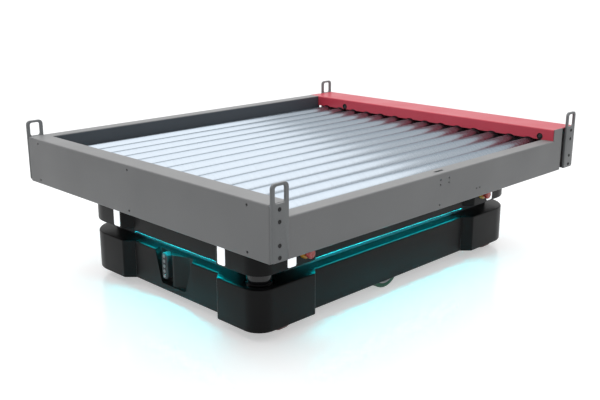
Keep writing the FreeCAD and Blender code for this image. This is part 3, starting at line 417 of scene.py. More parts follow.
def new_group(effect: Effect, inputs: dict[str, float],
              outputs: tuple[str, ...]) -> tuple[Wiring, bpy.types.Node, bpy.types.Node]:
    """Start a node group whose first input is a position.

    Args:
        effect: The effect it makes.
        inputs: Name and default of each number input.
        outputs: Names of the number outputs.

    Returns:
        The wiring, the input node and the output node.
    """
    tree = bpy.data.node_groups.new(effect.value, "ShaderNodeTree")
    tree.interface.new_socket("Vector", in_out="INPUT", socket_type="NodeSocketVector")
    for name, value in inputs.items():
        socket = tree.interface.new_socket(name, in_out="INPUT", socket_type="NodeSocketFloat")
        socket.default_value = value
    for name in outputs:
        tree.interface.new_socket(name, in_out="OUTPUT", socket_type="NodeSocketFloat")
    wiring = Wiring(tree)
    return wiring, wiring.add("NodeGroupInput"), wiring.add("NodeGroupOutput")


def make_peel() -> bpy.types.NodeTree:
    """Orange peel of a coat: fine noise for height, broad noise for tone."""
    wiring, source, result = new_group(Effect.PEEL, {"Grain": 900.0}, ("Height", "Tone"))
    fine = wiring.add("TexNoise")
    fine.inputs["Detail"].default_value = 2.0
    broad = wiring.add("TexNoise")
    broad.inputs["Scale"].default_value = 5.0
    broad.inputs["Detail"].default_value = 4.0
    for node in (fine, broad):
        wiring.join(source.outputs["Vector"], node, "Vector")
    wiring.join(source.outputs["Grain"], fine, "Scale")
    wiring.join(fine.outputs["Fac"], result, "Height")
    wiring.join(broad.outputs["Fac"], result, "Tone")
    return wiring.tree


def make_brush() -> bpy.types.NodeTree:
    """Brushed lines: noise squeezed along the direction of brushing by the Stretch inputs."""
    wiring, source, result = new_group(
        Effect.BRUSH, {"Stretch X": 1.0, "Stretch Y": 1.0, "Stretch Z": 1.0}, ("Height", "Tone"))
    factors = wiring.add("CombineXYZ")
    for letter in "XYZ":
        wiring.join(source.outputs[f"Stretch {letter}"], factors, letter)
    scaled = wiring.add("VectorMath", operation="MULTIPLY")
    wiring.join(source.outputs["Vector"], scaled, 0)
    wiring.join(factors.outputs[0], scaled, 1)
    noise = wiring.add("TexNoise")
    noise.inputs["Scale"].default_value = 1.0
    noise.inputs["Detail"].default_value = 5.0
    wiring.join(scaled.outputs[0], noise, "Vector")
    wiring.join(noise.outputs["Fac"], result, "Height")
    wiring.join(wiring.spread(noise.outputs["Fac"], (0.35, 0.65), (0.0, 1.0)), result, "Tone")
    return wiring.tree


def make_scuff() -> bpy.types.NodeTree:
    """Scuffs: thin lines where a warped wave crosses zero, kept only inside broad patches."""
    wiring, source, result = new_group(Effect.SCUFF, {"Density": 30.0, "Amount": 0.5}, ("Mask",))
    lines = wiring.add("TexNoise")
    lines.inputs["Detail"].default_value = 3.0
    lines.inputs["Distortion"].default_value = 1.2
    patch = wiring.add("TexNoise")
    patch.inputs["Scale"].default_value = 7.0
    for node in (lines, patch):
        wiring.join(source.outputs["Vector"], node, "Vector")
    wiring.join(source.outputs["Density"], lines, "Scale")
    near = wiring.math("ABSOLUTE", wiring.math("SUBTRACT", lines.outputs["Fac"], 0.5))
    thin = wiring.spread(near, (0.0, 0.012), (1.0, 0.0))
    kept = wiring.spread(patch.outputs["Fac"], (0.52, 0.68), (0.0, 1.0))
    both = wiring.math("MULTIPLY", thin, kept)
    wiring.join(wiring.math("MULTIPLY", both, source.outputs["Amount"]), result, "Mask")
    return wiring.tree


def make_dust() -> bpy.types.NodeTree:
    """Dust: grows where the surface looks up and where broad noise is high."""
    wiring, source, result = new_group(Effect.DUST, {"Amount": 0.3}, ("Mask",))
    geometry = wiring.add("NewGeometry")
    parts = wiring.add("SeparateXYZ")
    wiring.join(geometry.outputs["Normal"], parts, 0)
    up = wiring.spread(parts.outputs["Z"], (0.3, 1.0), (0.0, 1.0))
    noise = wiring.add("TexNoise")
    noise.inputs["Scale"].default_value = 16.0
    noise.inputs["Detail"].default_value = 6.0
    wiring.join(source.outputs["Vector"], noise, "Vector")
    cloud = wiring.spread(noise.outputs["Fac"], (0.35, 0.75), (0.2, 1.0))
    both = wiring.math("MULTIPLY", up, cloud)
    wiring.join(wiring.math("MULTIPLY", both, source.outputs["Amount"]), result, "Mask")
    return wiring.tree


MAKERS = {Effect.PEEL: make_peel, Effect.BRUSH: make_brush, Effect.SCUFF: make_scuff, Effect.DUST: make_dust}


# ------------------------------------------------------------------ finishes


@dataclass(frozen=True)
class Finish:
    """A surface finish: plain values on the shader, and shared effects that vary over it.

    Attributes:
        name: Name of the material.
        colour: Linear base colour.
        shade: Linear colour that the tone wanders to.
        roughness: Lowest and highest roughness.
        metallic: Metallic value.
        bump: Depth of the grain, in metres.
        grain: Scale of the grain, per metre.
        brush: Stretch per row axis for brushed lines; None for none.
        scuff: Strength of fine scuffs.
        dust: Strength of settled dust.
        coat: Weight of a clear coat.
        coat_roughness: Roughness of that coat.
        specular: Specular level.
        edge: Tint of what it reflects at a grazing angle.
    """

    name: str
    colour: tuple[float, float, float]
    shade: tuple[float, float, float]
    roughness: tuple[float, float]
    metallic: float = 0.0
    bump: float = 0.00004
    grain: float = 900.0
    brush: tuple[float, float, float] | None = None
    scuff: float = 0.0
    dust: float = 0.0
    coat: float = 0.0
    coat_roughness: float = 0.1
    specular: float = 0.5
    edge: tuple[float, float, float] = (1.0, 1.0, 1.0)

    def material(self) -> bpy.types.Material:
        """Build the material, or find it if it is there already."""
        title = f"look_{self.name}"
        made = bpy.data.materials.get(title)
        if made:
            return made
        made = bpy.data.materials.new(title)
        made.use_nodes = True
        wiring = Wiring(made.node_tree)
        shader = wiring.add("BsdfPrincipled")
        wiring.join(shader.outputs[0], wiring.add("OutputMaterial"), "Surface")
        place = wiring.add("TexCoord").outputs["Object"]
        shader.inputs["Metallic"].default_value = self.metallic
        shader.inputs["Coat Weight"].default_value = self.coat
        shader.inputs["Coat Roughness"].default_value = self.coat_roughness
        shader.inputs["Specular IOR Level"].default_value = self.specular
        shader.inputs["Specular Tint"].default_value = (*self.edge, 1.0)
        self._pattern(wiring, shader, place)
        return made

    def _pattern(self, wiring: Wiring, shader: bpy.types.Node, place: bpy.types.NodeSocket) -> None:
        """Join the varying colour, roughness and bump to the shader.

        Args:
            wiring: Wiring of the material.
            shader: Its Principled shader.
            place: Position socket.
        """
        if self.brush:
            effect = use_effect(wiring, Effect.BRUSH, place,
                                dict(zip(("Stretch X", "Stretch Y", "Stretch Z"), self.brush)))
        else:
            effect = use_effect(wiring, Effect.PEEL, place, {"Grain": self.grain})
        tone = effect.outputs["Tone"]
        colour = wiring.blend(tone, self.colour, self.shade)
        rough = wiring.spread(tone, (0.3, 0.7), self.roughness)
        if self.scuff:
            mask = use_effect(wiring, Effect.SCUFF, place, {"Density": 34.0, "Amount": self.scuff}).outputs[0]
            pale = tuple(min(1.0, value * 1.6 + 0.05) for value in self.colour)
            colour = wiring.blend(mask, colour, pale)
            rough = wiring.math("ADD", rough, wiring.math("MULTIPLY", mask, 0.2))
        if self.dust:
            mask = use_effect(wiring, Effect.DUST, place, {"Amount": self.dust}).outputs[0]
            colour = wiring.blend(mask, colour, (0.45, 0.43, 0.40))
            rough = wiring.math("ADD", rough, wiring.math("MULTIPLY", mask, 0.5))
        wiring.join(colour, shader, "Base Color")
        wiring.join(rough, shader, "Roughness")
        bump = wiring.add("Bump")
        bump.inputs["Distance"].default_value = self.bump
        wiring.join(effect.outputs["Height"], bump, "Height")
        wiring.join(bump.outputs[0], shader, "Normal")


def use_effect(wiring: Wiring, effect: Effect, place: bpy.types.NodeSocket,
               values: dict[str, float]) -> bpy.types.Node:
    """Place a shared effect in a material.

    Args:
        wiring: Wiring of the material.
        effect: Which effect.
        place: Position socket.
        values: Values of its number inputs.

    Returns:
        The group node.
    """
    tree = bpy.data.node_groups.get(effect.value) or MAKERS[effect]()
    node = wiring.add("Group")
    node.node_tree = tree
    wiring.join(place, node, "Vector")
    for name, value in values.items():
        node.inputs[name].default_value = value
    return node


@dataclass(frozen=True)
class Lamp:
    """A lit diffuser whose glow wanders a little along its length.

    Attributes:
        name: Name of the material.
        colour: Linear colour of the light.
        body: Linear colour of the diffuser.
        strength: Emission strength as it lights other pieces.
        seen: Emission strength as the camera sees it.
    """

    name: str
    colour: tuple[float, float, float]
    body: tuple[float, float, float]
    strength: float
    seen: float

    def material(self) -> bpy.types.Material:
        """Build the material, or find it if it is there already."""
        title = f"look_{self.name}"
        made = bpy.data.materials.get(title)
        if made:
            return made
        made = bpy.data.materials.new(title)
        made.use_nodes = True
        wiring = Wiring(made.node_tree)
        shader = wiring.add("BsdfPrincipled")
        place = wiring.add("TexCoord").outputs["Object"]
        effect = use_effect(wiring, Effect.PEEL, place, {"Grain": 400.0})
        dim = tuple(value * 0.9 for value in self.colour)
        wiring.join(wiring.blend(effect.outputs["Tone"], self.colour, dim), shader, "Emission Color")
        wiring.join(wiring.blend(effect.outputs["Tone"], self.body, dim), shader, "Base Color")
        shader.inputs["Emission Strength"].default_value = self.seen
        glow = wiring.add("Emission")
        glow.inputs["Color"].default_value = (*self.colour, 1.0)
        glow.inputs["Strength"].default_value = self.strength
        mix = wiring.add("MixShader")
        wiring.join(wiring.add("LightPath").outputs["Is Camera Ray"], mix, 0)
        wiring.join(glow.outputs[0], mix, 1)
        wiring.join(shader.outputs[0], mix, 2)
        wiring.join(mix.outputs[0], wiring.add("OutputMaterial"), "Surface")
        shader.inputs["Roughness"].default_value = 0.35
        return made


PLATE_GREY = Finish("plate_grey", (0.225, 0.228, 0.232), (0.205, 0.208, 0.212), (0.40, 0.52),
                    bump=0.00005, grain=1100, scuff=0.10, dust=0.05)
# Far guide panel: a much darker grey than the plates around it.
GUIDE_GREY = Finish("guide_dark_grey", (0.050, 0.060, 0.072), (0.040, 0.049, 0.060), (0.42, 0.55),
                    grain=1100)
COVER_RED = Finish("cover_red", (0.60, 0.052, 0.085), (0.54, 0.042, 0.072), (0.30, 0.42),
                   grain=1000, scuff=0.08, dust=0.04)
LUG_GREY = Finish("lug_grey", (0.20, 0.21, 0.215), (0.165, 0.172, 0.178), (0.32, 0.48), grain=900,
                  scuff=0.25)
SCREW_BLACK = Finish("screw_black", (0.012, 0.012, 0.013), (0.02, 0.02, 0.021), (0.3, 0.45),
                     metallic=0.6)
ROLLER_STEEL = Finish("roller_steel", (0.42, 0.47, 0.52), (0.37, 0.41, 0.455), (0.22, 0.30),
                      metallic=1.0, bump=0.00001, brush=(2200.0, 12.0, 12.0), edge=(0.50, 0.55, 0.60))
AXLE_STEEL = Finish("axle_steel", (0.45, 0.46, 0.48), (0.36, 0.37, 0.39), (0.28, 0.42),
                    metallic=1.0, bump=0.00001, brush=(1500.0, 20.0, 20.0))
FRAME_DARK = Finish("frame_anthracite", (0.040, 0.043, 0.047), (0.030, 0.032, 0.036), (0.45, 0.60),
                    grain=800, dust=0.12)
BELT_BLACK = Finish("belt_rubber", (0.015, 0.015, 0.015), (0.025, 0.025, 0.025), (0.55, 0.75),
                    bump=0.0002, brush=(600.0, 4.0, 4.0))
MOULDED_BLACK = Finish("moulded_black", (0.0038, 0.0038, 0.0042), (0.0028, 0.0028, 0.0031),
                       (0.32, 0.42), bump=0.00003, grain=1400, specular=0.12)
GLOSS_BLACK = Finish("gloss_black", (0.006, 0.006, 0.007), (0.010, 0.010, 0.011), (0.10, 0.18),
                     bump=0.000005, grain=700, coat=0.2, specular=0.3)
RECESS_BLACK = Finish("recess_black", (0.006, 0.006, 0.006), (0.009, 0.009, 0.009), (0.40, 0.55),
                      grain=1200, specular=0.2)
STOP_RED = Finish("stop_red", (0.62, 0.030, 0.022), (0.52, 0.022, 0.016), (0.22, 0.34), coat=0.4)
STOP_YELLOW = Finish("stop_yellow", (0.72, 0.36, 0.02), (0.64, 0.31, 0.015), (0.30, 0.42), coat=0.2)
KEYPAD_GREY = Finish("keypad_grey", (0.055, 0.058, 0.062), (0.045, 0.048, 0.052), (0.30, 0.45),
                     grain=1000, specular=0.3)
BUTTON_PALE = Finish("button_pale", (0.42, 0.44, 0.46), (0.36, 0.38, 0.40), (0.25, 0.38))
KEY_STEEL = Finish("key_steel", (0.50, 0.50, 0.52), (0.42, 0.42, 0.44), (0.18, 0.30),
                   metallic=1.0, brush=(40.0, 900.0, 40.0))
TYRE_GREEN = Finish("tyre_green", (0.0, 0.105, 0.052), (0.0, 0.085, 0.042), (0.45, 0.60),
                    bump=0.00012, grain=500)
RIM_STEEL = Finish("rim_steel", (0.34, 0.35, 0.36), (0.28, 0.29, 0.30), (0.30, 0.45),
                   metallic=1.0, brush=(30.0, 700.0, 30.0))
CASTER_BROWN = Finish("caster_brown", (0.19, 0.082, 0.075), (0.15, 0.064, 0.058), (0.45, 0.62),
                      bump=0.0001, grain=500, scuff=0.3)
ZINC = Finish("zinc_plate", (0.48, 0.49, 0.50), (0.38, 0.39, 0.41), (0.32, 0.46), metallic=1.0,
              grain=300)
MOTOR_CAST = Finish("motor_cast", (0.30, 0.31, 0.32), (0.24, 0.25, 0.26), (0.40, 0.55),
                    metallic=0.9, grain=350, bump=0.0001)
CASE_DARK = Finish("case_dark", (0.05, 0.055, 0.065), (0.04, 0.044, 0.052), (0.45, 0.60), grain=800)
CASE_ALLOY = Finish("case_alloy", (0.28, 0.29, 0.30), (0.23, 0.24, 0.25), (0.35, 0.50),
                    metallic=0.9, brush=(20.0, 600.0, 20.0))
LAMP_CYAN = Lamp("lamp_cyan", (0.0, 0.74, 0.82), (0.02, 0.45, 0.50), 65.0, 0.9)
LAMP_WHITE = Lamp("lamp_white", (0.95, 0.98, 1.0), (0.8, 0.8, 0.8), 0.9, 0.85)


def place_piece(piece: bpy.types.Object, finish: Finish | Lamp, body: str,
                nodes: tuple[str, ...] = ()) -> bpy.types.Object:
    """Dress a new piece and hand it to the frame.

    Args:
        piece: The finished object.
        finish: Its finish.
        body: The CAD body it moves with.
        nodes: CAD nodes that it stands for.

    Returns:
        The piece.
    """
    piece.data.materials.clear()
    piece.data.materials.append(finish.material())
    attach(piece, body)
    if nodes:
        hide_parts(*nodes)
    LOG.info("%s: %d faces on %s", piece.name, len(piece.data.polygons), body)
    return piece


def dress_node(finish: Finish, *nodes: str) -> None:
    """Give CAD nodes a finish, through their objects' own material slots."""
    for name in nodes:
        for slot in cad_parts[name].material_slots:
            slot.link = "OBJECT"
            slot.material = finish.material()
        LOG.info("%s: CAD shape, %s", name, finish.name)


# ------------------------------------------------------------------ base shells


@dataclass(frozen=True)
class Arms:
    """How far a corner reaches along the robot and across it, and how round it is."""

    along: float
    across: float
    radius: float


SCANNER_ARMS = Arms(0.235, 0.185, 0.060)
PLAIN_ARMS = Arms(0.271, 0.226, 0.115)
CORNERS = (((-1, -1), SCANNER_ARMS), ((1, -1), PLAIN_ARMS), ((1, 1), SCANNER_ARMS), ((-1, 1), PLAIN_ARMS))


@dataclass
class BasePlan:
    """Plan of the base, in metres: outer faces, panel faces and chassis faces."""

    outer: tuple[float, float] = (0.675, 0.455)
    panel: tuple[float, float] = (0.645, 0.425)
    core: tuple[float, float] = (0.599, 0.379)
    setback: float = 0.030
    bend_round: float = 0.010

    def corner(self, signs: tuple[int, int], arms: Arms) -> tuple[Array, Array]:
        """Outline of one corner, and the chassis edge matched to it point by point.

        The outer line runs from the end panel over a 45 degree slant, round the corner and
        back over a slant to the side panel.  The inner line runs in two legs; the corner's
        middle meets their joint, and each half is matched by its share of the length.

        Args:
            signs: Which corner, as the signs of x and y.
            arms: Its reach and radius.

        Returns:
            Outer and inner points, both anticlockwise seen from above.
        """
        (outer_x, outer_y), (panel_x, panel_y) = self.outer, self.panel
        end_y = outer_y - arms.across - self.setback
        end_x = outer_x - arms.along - self.setback
        corners = np.array([(panel_x, end_y), (outer_x, outer_y - arms.across), (outer_x, outer_y),
                            (outer_x - arms.along, outer_y), (end_x, panel_y)])
        path = rounded_path(corners, [0, self.bend_round, arms.radius, self.bend_round, 0], False, 12)
        length = np.concatenate([[0], np.cumsum(np.linalg.norm(np.diff(path, axis=0), axis=1))])
        share = length / length[len(path) // 2]
        half = (length - length[len(path) // 2]) / (length[-1] - length[len(path) // 2])
        first = share[:, None] <= 1
        leg_one = np.stack([np.full(len(path), self.core[0]), end_y + (self.core[1] - end_y) * share], 1)
        leg_two = np.stack([self.core[0] + (end_x - self.core[0]) * half,
                            np.full(len(path), self.core[1])], 1)
        inner = np.where(first, leg_one, leg_two)
        path, inner = path * signs, inner * signs
        return (path, inner) if signs[0] * signs[1] > 0 else (path[::-1], inner[::-1])

    def ring(self) -> tuple[Array, Array, Array]:
        """The whole outline with its four corners.

        Returns:
            Outer points, inner points, and whether each point belongs to a corner tower.
        """
        order = [CORNERS[2], CORNERS[3], CORNERS[0], CORNERS[1]]
        outer, inner, tower = [], [], []
        for signs, arms in order:
            path, core = self.corner(signs, arms)
            nudge = 0.0005
            before = path[0] + nudge * (path[0] - path[1]) / np.linalg.norm(path[0] - path[1])
            after = path[-1] + nudge * (path[-1] - path[-2]) / np.linalg.norm(path[-1] - path[-2])
            outer.append(np.concatenate([before[None], path, after[None]]))
            inner.append(np.concatenate([core[:1], core, core[-1:]]))
            tower.append(np.concatenate([[False], np.full(len(path), True), [False]]))
        return np.concatenate(outer), np.concatenate(inner), np.concatenate(tower)


@dataclass
class Bumpers:
    """The four moulded corner bumpers: thin shells with a soft top edge."""

    plan: BasePlan
    bottom: float = 0.031
    top: float = 0.165
    wall: float = 0.004
    head_round: float = 0.0045
    foot_round: float = 0.0025
    scanner_hole: float = 0.048
    hole_levels: tuple[float, float] = (0.150, 0.180)
    scanner_place: tuple[float, float] = (0.609, 0.389)

    def sheet(self, signs: tuple[int, int], arms: Arms, shape: Shape) -> None:
        """Add one bumper's outer face.

        The wall is the outline moved in by the edge profile's inset at its height; the top is
        the straight blend from the moved outline to the chassis edge.

        Args:
            signs: Which corner.
            arms: Its reach and radius.
            shape: Shape to add to.
        """
        path, inner = self.plan.corner(signs, arms)
        rows = [raise_path(offset_path(path, inset, False), height)
                for inset, height in edge_profile(self.bottom, self.top, self.foot_round, self.head_round)]
        rim = offset_path(path, self.head_round, False)
        rows += [raise_path(rim + (inner - rim) * share, self.top) for share in (0.35, 0.7, 1.0)]
        shape.grid(np.array(rows))

    def make(self) -> None:
        """Build the scanner pair and the plain pair."""
        guarded, plain = Shape(), Shape()
        for signs, arms in CORNERS:
            self.sheet(signs, arms, guarded if arms is SCANNER_ARMS else plain)
        cutter = Shape()
        for sign in (-1, 1):
            centre = (sign * self.scanner_place[0], sign * self.scanner_place[1])
            hole = np.array([(level, self.scanner_hole) for level in self.hole_levels])
            turned(hole, centre, Axis.Z, 64, shape=cutter)
        shell = thickened(guarded.build("scanner_bumper_shells", shell=True), self.wall)
        shell = carved(shell, cutter.build("scanner_hole_cutter"))
        place_piece(shell, MOULDED_BLACK, "base", ("scanner_corner_bumpers",))
        shell = thickened(plain.build("plain_bumper_shells", shell=True), self.wall)
        soften(shell.data)
        place_piece(shell, MOULDED_BLACK, "base", ("plain_corner_bumpers",))


@dataclass
class LowerPanels:
    """The lower panels between the bumpers: a skirt with a soft edge and a ledge."""

    plan: BasePlan
    bottom: float = 0.031
    top: float = 0.164
    wall: float = 0.004
    head_round: float = 0.006
    foot_round: float = 0.003
    gap: float = 0.0008

    def profile(self, face: float, core: float) -> Array:
        """Distance from the middle and height, from the foot over the edge to the chassis."""
        rows = edge_profile(self.bottom, self.top, self.foot_round, self.head_round)
        wall = np.stack([face - rows[:, 0], rows[:, 1]], 1)
        ledge = np.stack([np.linspace(face - self.head_round, core, 4)[1:], np.full(3, self.top)], 1)
        return np.concatenate([wall, ledge])

    def sheet(self, axis: Axis, sign: int, run: tuple[float, float], shape: Shape) -> None:
        """Add one panel, its profile carried straight along a row axis.

        Args:
            axis: Row axis along the panel.
            sign: Side of the robot.
            run: Start and end along the axis.
            shape: Shape to add to.
        """
        across = 1 - axis.value
        profile = self.profile(self.plan.panel[across], self.plan.core[across])
        along = np.linspace(run[0] + self.gap, run[1] - self.gap, 24)
        rows = np.empty((len(profile), len(along), 3))
        rows[..., axis.value] = along
        rows[..., across] = sign * profile[:, :1]
        rows[..., 2] = profile[:, 1:]
        outward = (sign < 0) == (axis is Axis.X)
        shape.grid(rows if outward else rows[:, ::-1])

    def run(self, axis: Axis, sign: int) -> tuple[float, float]:
        """Stretch between the two bumpers at a panel's ends."""
        reach = self.plan.outer[axis.value] - self.plan.setback
        near, far = (SCANNER_ARMS, PLAIN_ARMS) if sign < 0 else (PLAIN_ARMS, SCANNER_ARMS)
        pick = (lambda arms: arms.along) if axis is Axis.X else (lambda arms: arms.across)
        return -(reach - pick(near)), reach - pick(far)

    def make(self) -> None:
        """Build the side panels, the rear panel and the front panel with its recess."""
        sides = Shape()
        for sign in (-1, 1):
            self.sheet(Axis.X, sign, self.run(Axis.X, sign), sides)
        panel = thickened(sides.build("side_skirts", shell=True), self.wall)
        soften(panel.data)
        place_piece(panel, MOULDED_BLACK, "base", ("side_panels",))
        ends = Shape()
        for sign in (-1, 1):
            self.sheet(Axis.Y, sign, self.run(Axis.Y, sign), ends)
        panel = thickened(ends.build("end_skirts", shell=True), self.wall)
        panel = carved(panel, Recess().cutter())
        place_piece(panel, MOULDED_BLACK, "base", ("end_panels",))


@dataclass
class Recess:
    """The control recess in the front panel, with its slopes, keypad, buttons and mode key."""

    front: float = -0.645
    back: float = -0.620
    top: float = 0.164
    foot: float = 0.053
    top_span: tuple[float, float] = (-0.112, 0.083)
    foot_span: tuple[float, float] = (-0.076, 0.052)
    foot_round: float = 0.012
    wall: float = 0.003
    rim_roll: float = 0.0025
    back_roll: float = 0.004
    head_gap: float = 0.0005
    crest: float = -0.642
    ridge: tuple[float, ...] = (-0.070, -0.014, -0.006, 0.018)
    slope_foot: float = -0.090
    keypad_y: float = 0.0385
    keypad_z: tuple[float, float] = (0.067, 0.159)
    keypad_width: float = 0.031
    keypad_depth: float = 0.021
    key_pitch: float = 0.017
    key_radius: float = 0.0056

    def outline(self, head: float, grow: float = 0.0) -> Array:
        """The recess's outline in the panel's face, with its lower corners rounded.

        Args:
            head: Height where the open top ends.
            grow: How far the sides and the foot move outwards.

        Returns:
            Points as (y, z), from the top on the +Y side down and up again on the -Y side.
        """
        lean_left = (self.top_span[1] - self.foot_span[1]) / (self.top - self.foot)
        lean_right = (self.top_span[0] - self.foot_span[0]) / (self.top - self.foot)
        corners = np.array([
            (self.top_span[1] + grow + lean_left * (head - self.top), head),
            (self.foot_span[1] + grow, self.foot - grow),
            (self.foot_span[0] - grow, self.foot - grow),
            (self.top_span[0] - grow + lean_right * (head - self.top), head)])
        return rounded_path(corners, [0, self.foot_round + grow, self.foot_round + grow, 0], False, 10)

    def cutter(self) -> bpy.types.Object:
        """The block that opens the panel, rounded like the recess."""
        loop = self.outline(self.top + 0.02)
        ends = [raise_path(loop, place, Axis.X) for place in (-0.70, self.back)]
        return Shape().grid(np.array(ends), loop_columns=True, lids=True).build("recess_cutter")

    def tray(self) -> None:
        """Build the tray: a rolled rim, walls that run in, and a back plate with its slopes."""
        roll = arc(0, 90, 5)
        sine, cosine, head = np.sin(roll), np.cos(roll), self.top - self.head_gap
        depth = np.concatenate([self.front + self.rim_roll * (1 - sine[::-1]), [self.back - self.back_roll],
                                self.back - self.back_roll * (1 - sine)])
        grow = np.concatenate([self.rim_roll * (1 - cosine[::-1]), [0.0], -self.back_roll * (1 - cosine)])
        rows = [raise_path(self.outline(head, amount), place, Axis.X) for amount, place in zip(grow, depth)]
        shape = Shape().grid(np.array(rows))
        back = self.outline(head, -self.wall)
        plate = [raise_path(back, place, Axis.X) for place in (self.back - 0.0002, self.back + self.wall)]
        shape.grid(np.array(plate), loop_columns=True, lids=True)
        places = [(self.back, self.ridge[0]), (self.crest, self.ridge[1]), (self.crest, self.ridge[2]),
                  (self.back, self.ridge[3])]
        loop = rounded_path(np.array(places), [0.0, self.rim_roll, self.rim_roll, 0.0], True, 6)
        span = (self.foot - 0.001, self.top - 0.001)
        raised(loop, Axis.Z, *span, (0.0002, 0.0012), shape)
        edge = self.top_span[0] - 0.0015
        loop = np.array([(self.back, self.slope_foot), (self.back, edge), (self.crest, edge)])
        raised(loop, Axis.Z, *span, (0.0002, 0.0008), shape)
        place_piece(shape.build("recess_tray"), RECESS_BLACK, "base")

    def levels(self) -> list[float]:
        """Height of each key, from the lowest up."""
        middle = sum(self.keypad_z) / 2
        return [middle + (index - 2) * self.key_pitch for index in range(5)]

    def keypad(self) -> None:
        """Build the keypad plate, its ring bezels, the four buttons and the mode key."""
        half = self.keypad_width / 2
        loop = rectangle((self.keypad_y - half, self.keypad_z[0]), (self.keypad_y + half, self.keypad_z[1]),
                         half - 0.0002, 12)
        place = self.back - self.keypad_depth
        plate = raised(loop, Axis.X, place, self.back, (0.003, 0.0003))
        rim = self.key_radius
        bores, rings = Shape(), Shape()
        bore = np.array([(place - 0.005, rim + 0.0001), (self.back + 0.005, rim + 0.0001)])
        bezel = np.array([(place + 0.002, rim + 0.0018), (place - 0.0008, rim + 0.0016),
                          (place - 0.0012, rim + 0.0010), (place - 0.0008, rim + 0.00025),
                          (place + 0.002, rim + 0.0002)])
        for level in self.levels():
            turned(bezel, (self.keypad_y, level), Axis.X, 40, ring=True, shape=rings)
            turned(bore, (self.keypad_y, level), Axis.X, 40, shape=bores)
        plate = carved(plate.build("keypad_face", shell=True), bores.build("keypad_bore_cutter"))
        place_piece(plate, KEYPAD_GREY, "base", ("keypad_plate",))
        place_piece(rings.build("keypad_bezels"), KEYPAD_GREY, "base")
        face = place - 0.0025
        cap = np.array([(face + 0.012, rim - 0.0006), (face + 0.001, rim), (face + 0.0004, rim - 0.0003),
                        (face, rim - 0.0010), (face + 0.0005, rim * 0.55), (face + 0.0008, rim * 0.2)])
        for number, level in enumerate(self.levels()[1:], start=1):
            name = f"push_button_{number}"
            place_piece(turned(cap, (self.keypad_y, level), Axis.X, 40).build(f"{name}_cap"), BUTTON_PALE,
                        name, (name,))
        low = self.levels()[0]
        key = turned(cap, (self.keypad_y, low), Axis.X, 40)
        soft_box((face - 0.0025, self.keypad_y - 0.0011, low - 0.0045),
                 (face + 0.0015, self.keypad_y + 0.0011, low + 0.0045), 0.0005, Axis.X, key)
        place_piece(key.build("mode_key_barrel"), KEY_STEEL, "mode_key", ("mode_key",))


@dataclass
class UpperCover:
    """The moulded band under the deck, with its four corner towers and signal windows."""

    plan: BasePlan
    band_foot: float = 0.197
    tower_foot: float = 0.206
    top: float = 0.318
    wall: float = 0.0035
    edge: float = 0.004
    window: tuple[float, float] = (0.211, 0.303)
    window_width: float = 0.035
    window_round: float = 0.006

    def make(self) -> None:
        """Build the band: lips in to the chassis, soft edges, and a foot that steps at the towers."""
        path, inner, tower = self.plan.ring()
        foot = np.where(tower, self.tower_foot, self.band_foot)
        low, high = edge_profile(0, 0, self.edge, 0)[:5], edge_profile(0, 0, 0, self.edge)[5:]
        rim = offset_path(path, self.edge, True)
        rows = [raise_path(inner + (rim - inner) * share, foot) for share in (0.0, 0.5)]
        rows += [raise_path(offset_path(path, inset, True), foot + height) for inset, height in low]
        rows += [raise_path(offset_path(path, inset, True), self.top + height) for inset, height in high]
        rows += [raise_path(rim + (inner - rim) * share, self.top) for share in (0.5, 1.0)]
        shell = Shape().grid(np.array(rows), loop_columns=True).build("cover_band", shell=True)
        shell = thickened(shell, self.wall)
        soften(shell.data)
        place_piece(shell, MOULDED_BLACK, "base", ("upper_cover",))
        self.windows()

    def windows(self) -> None:
        """Build the eight lit windows and the thin dark frame round each."""
        lit, frames = Shape(), Shape()
        for (sign_x, sign_y), arms in CORNERS:
            near = self.plan.outer[1] - arms.across + 0.008
            place = sorted((sign_y * near, sign_y * (near + self.window_width)))
            self.window_at(Axis.X, sign_x * self.plan.outer[0], place, sign_x, lit, frames)
            near = self.plan.outer[0] - arms.along + 0.082
            place = sorted((sign_x * near, sign_x * (near + self.window_width)))
            self.window_at(Axis.Y, sign_y * self.plan.outer[1], place, sign_y, lit, frames)
        place_piece(lit.build("signal_lamp_faces"), LAMP_WHITE, "base", ("signal_windows",))
        place_piece(frames.build("signal_lamp_frames"), GLOSS_BLACK, "base")

    def window_at(self, axis: Axis, face: float, place: list[float], sign: int,
                  lit: Shape, frames: Shape) -> None:
        """Add one window.

        Args:
            axis: Row axis that the face looks along.
            face: Place of the tower's face on that axis.
            place: Start and end across the face.
            sign: Which way the face looks.
            lit: Shape of the lit plates.
            frames: Shape of the frames.
        """
        loop = rectangle((place[0], self.window[0]), (place[1], self.window[1]), self.window_round)
        span = sorted((face - sign * 0.003, face + sign * 0.0008))
        raised(loop, axis, *span, (0.0006, 0.0006), lit)
        outer, inner = offset_path(loop, -0.0016, True), offset_path(loop, -0.0002, True)
        back, front = face - sign * 0.002, face + sign * 0.0003
        rows = [raise_path(line, level, axis) for line, level in
                ((outer, back), (outer, front), (inner, front), (inner, back))]
        frames.grid(np.array(rows), loop_rows=True, loop_columns=True)


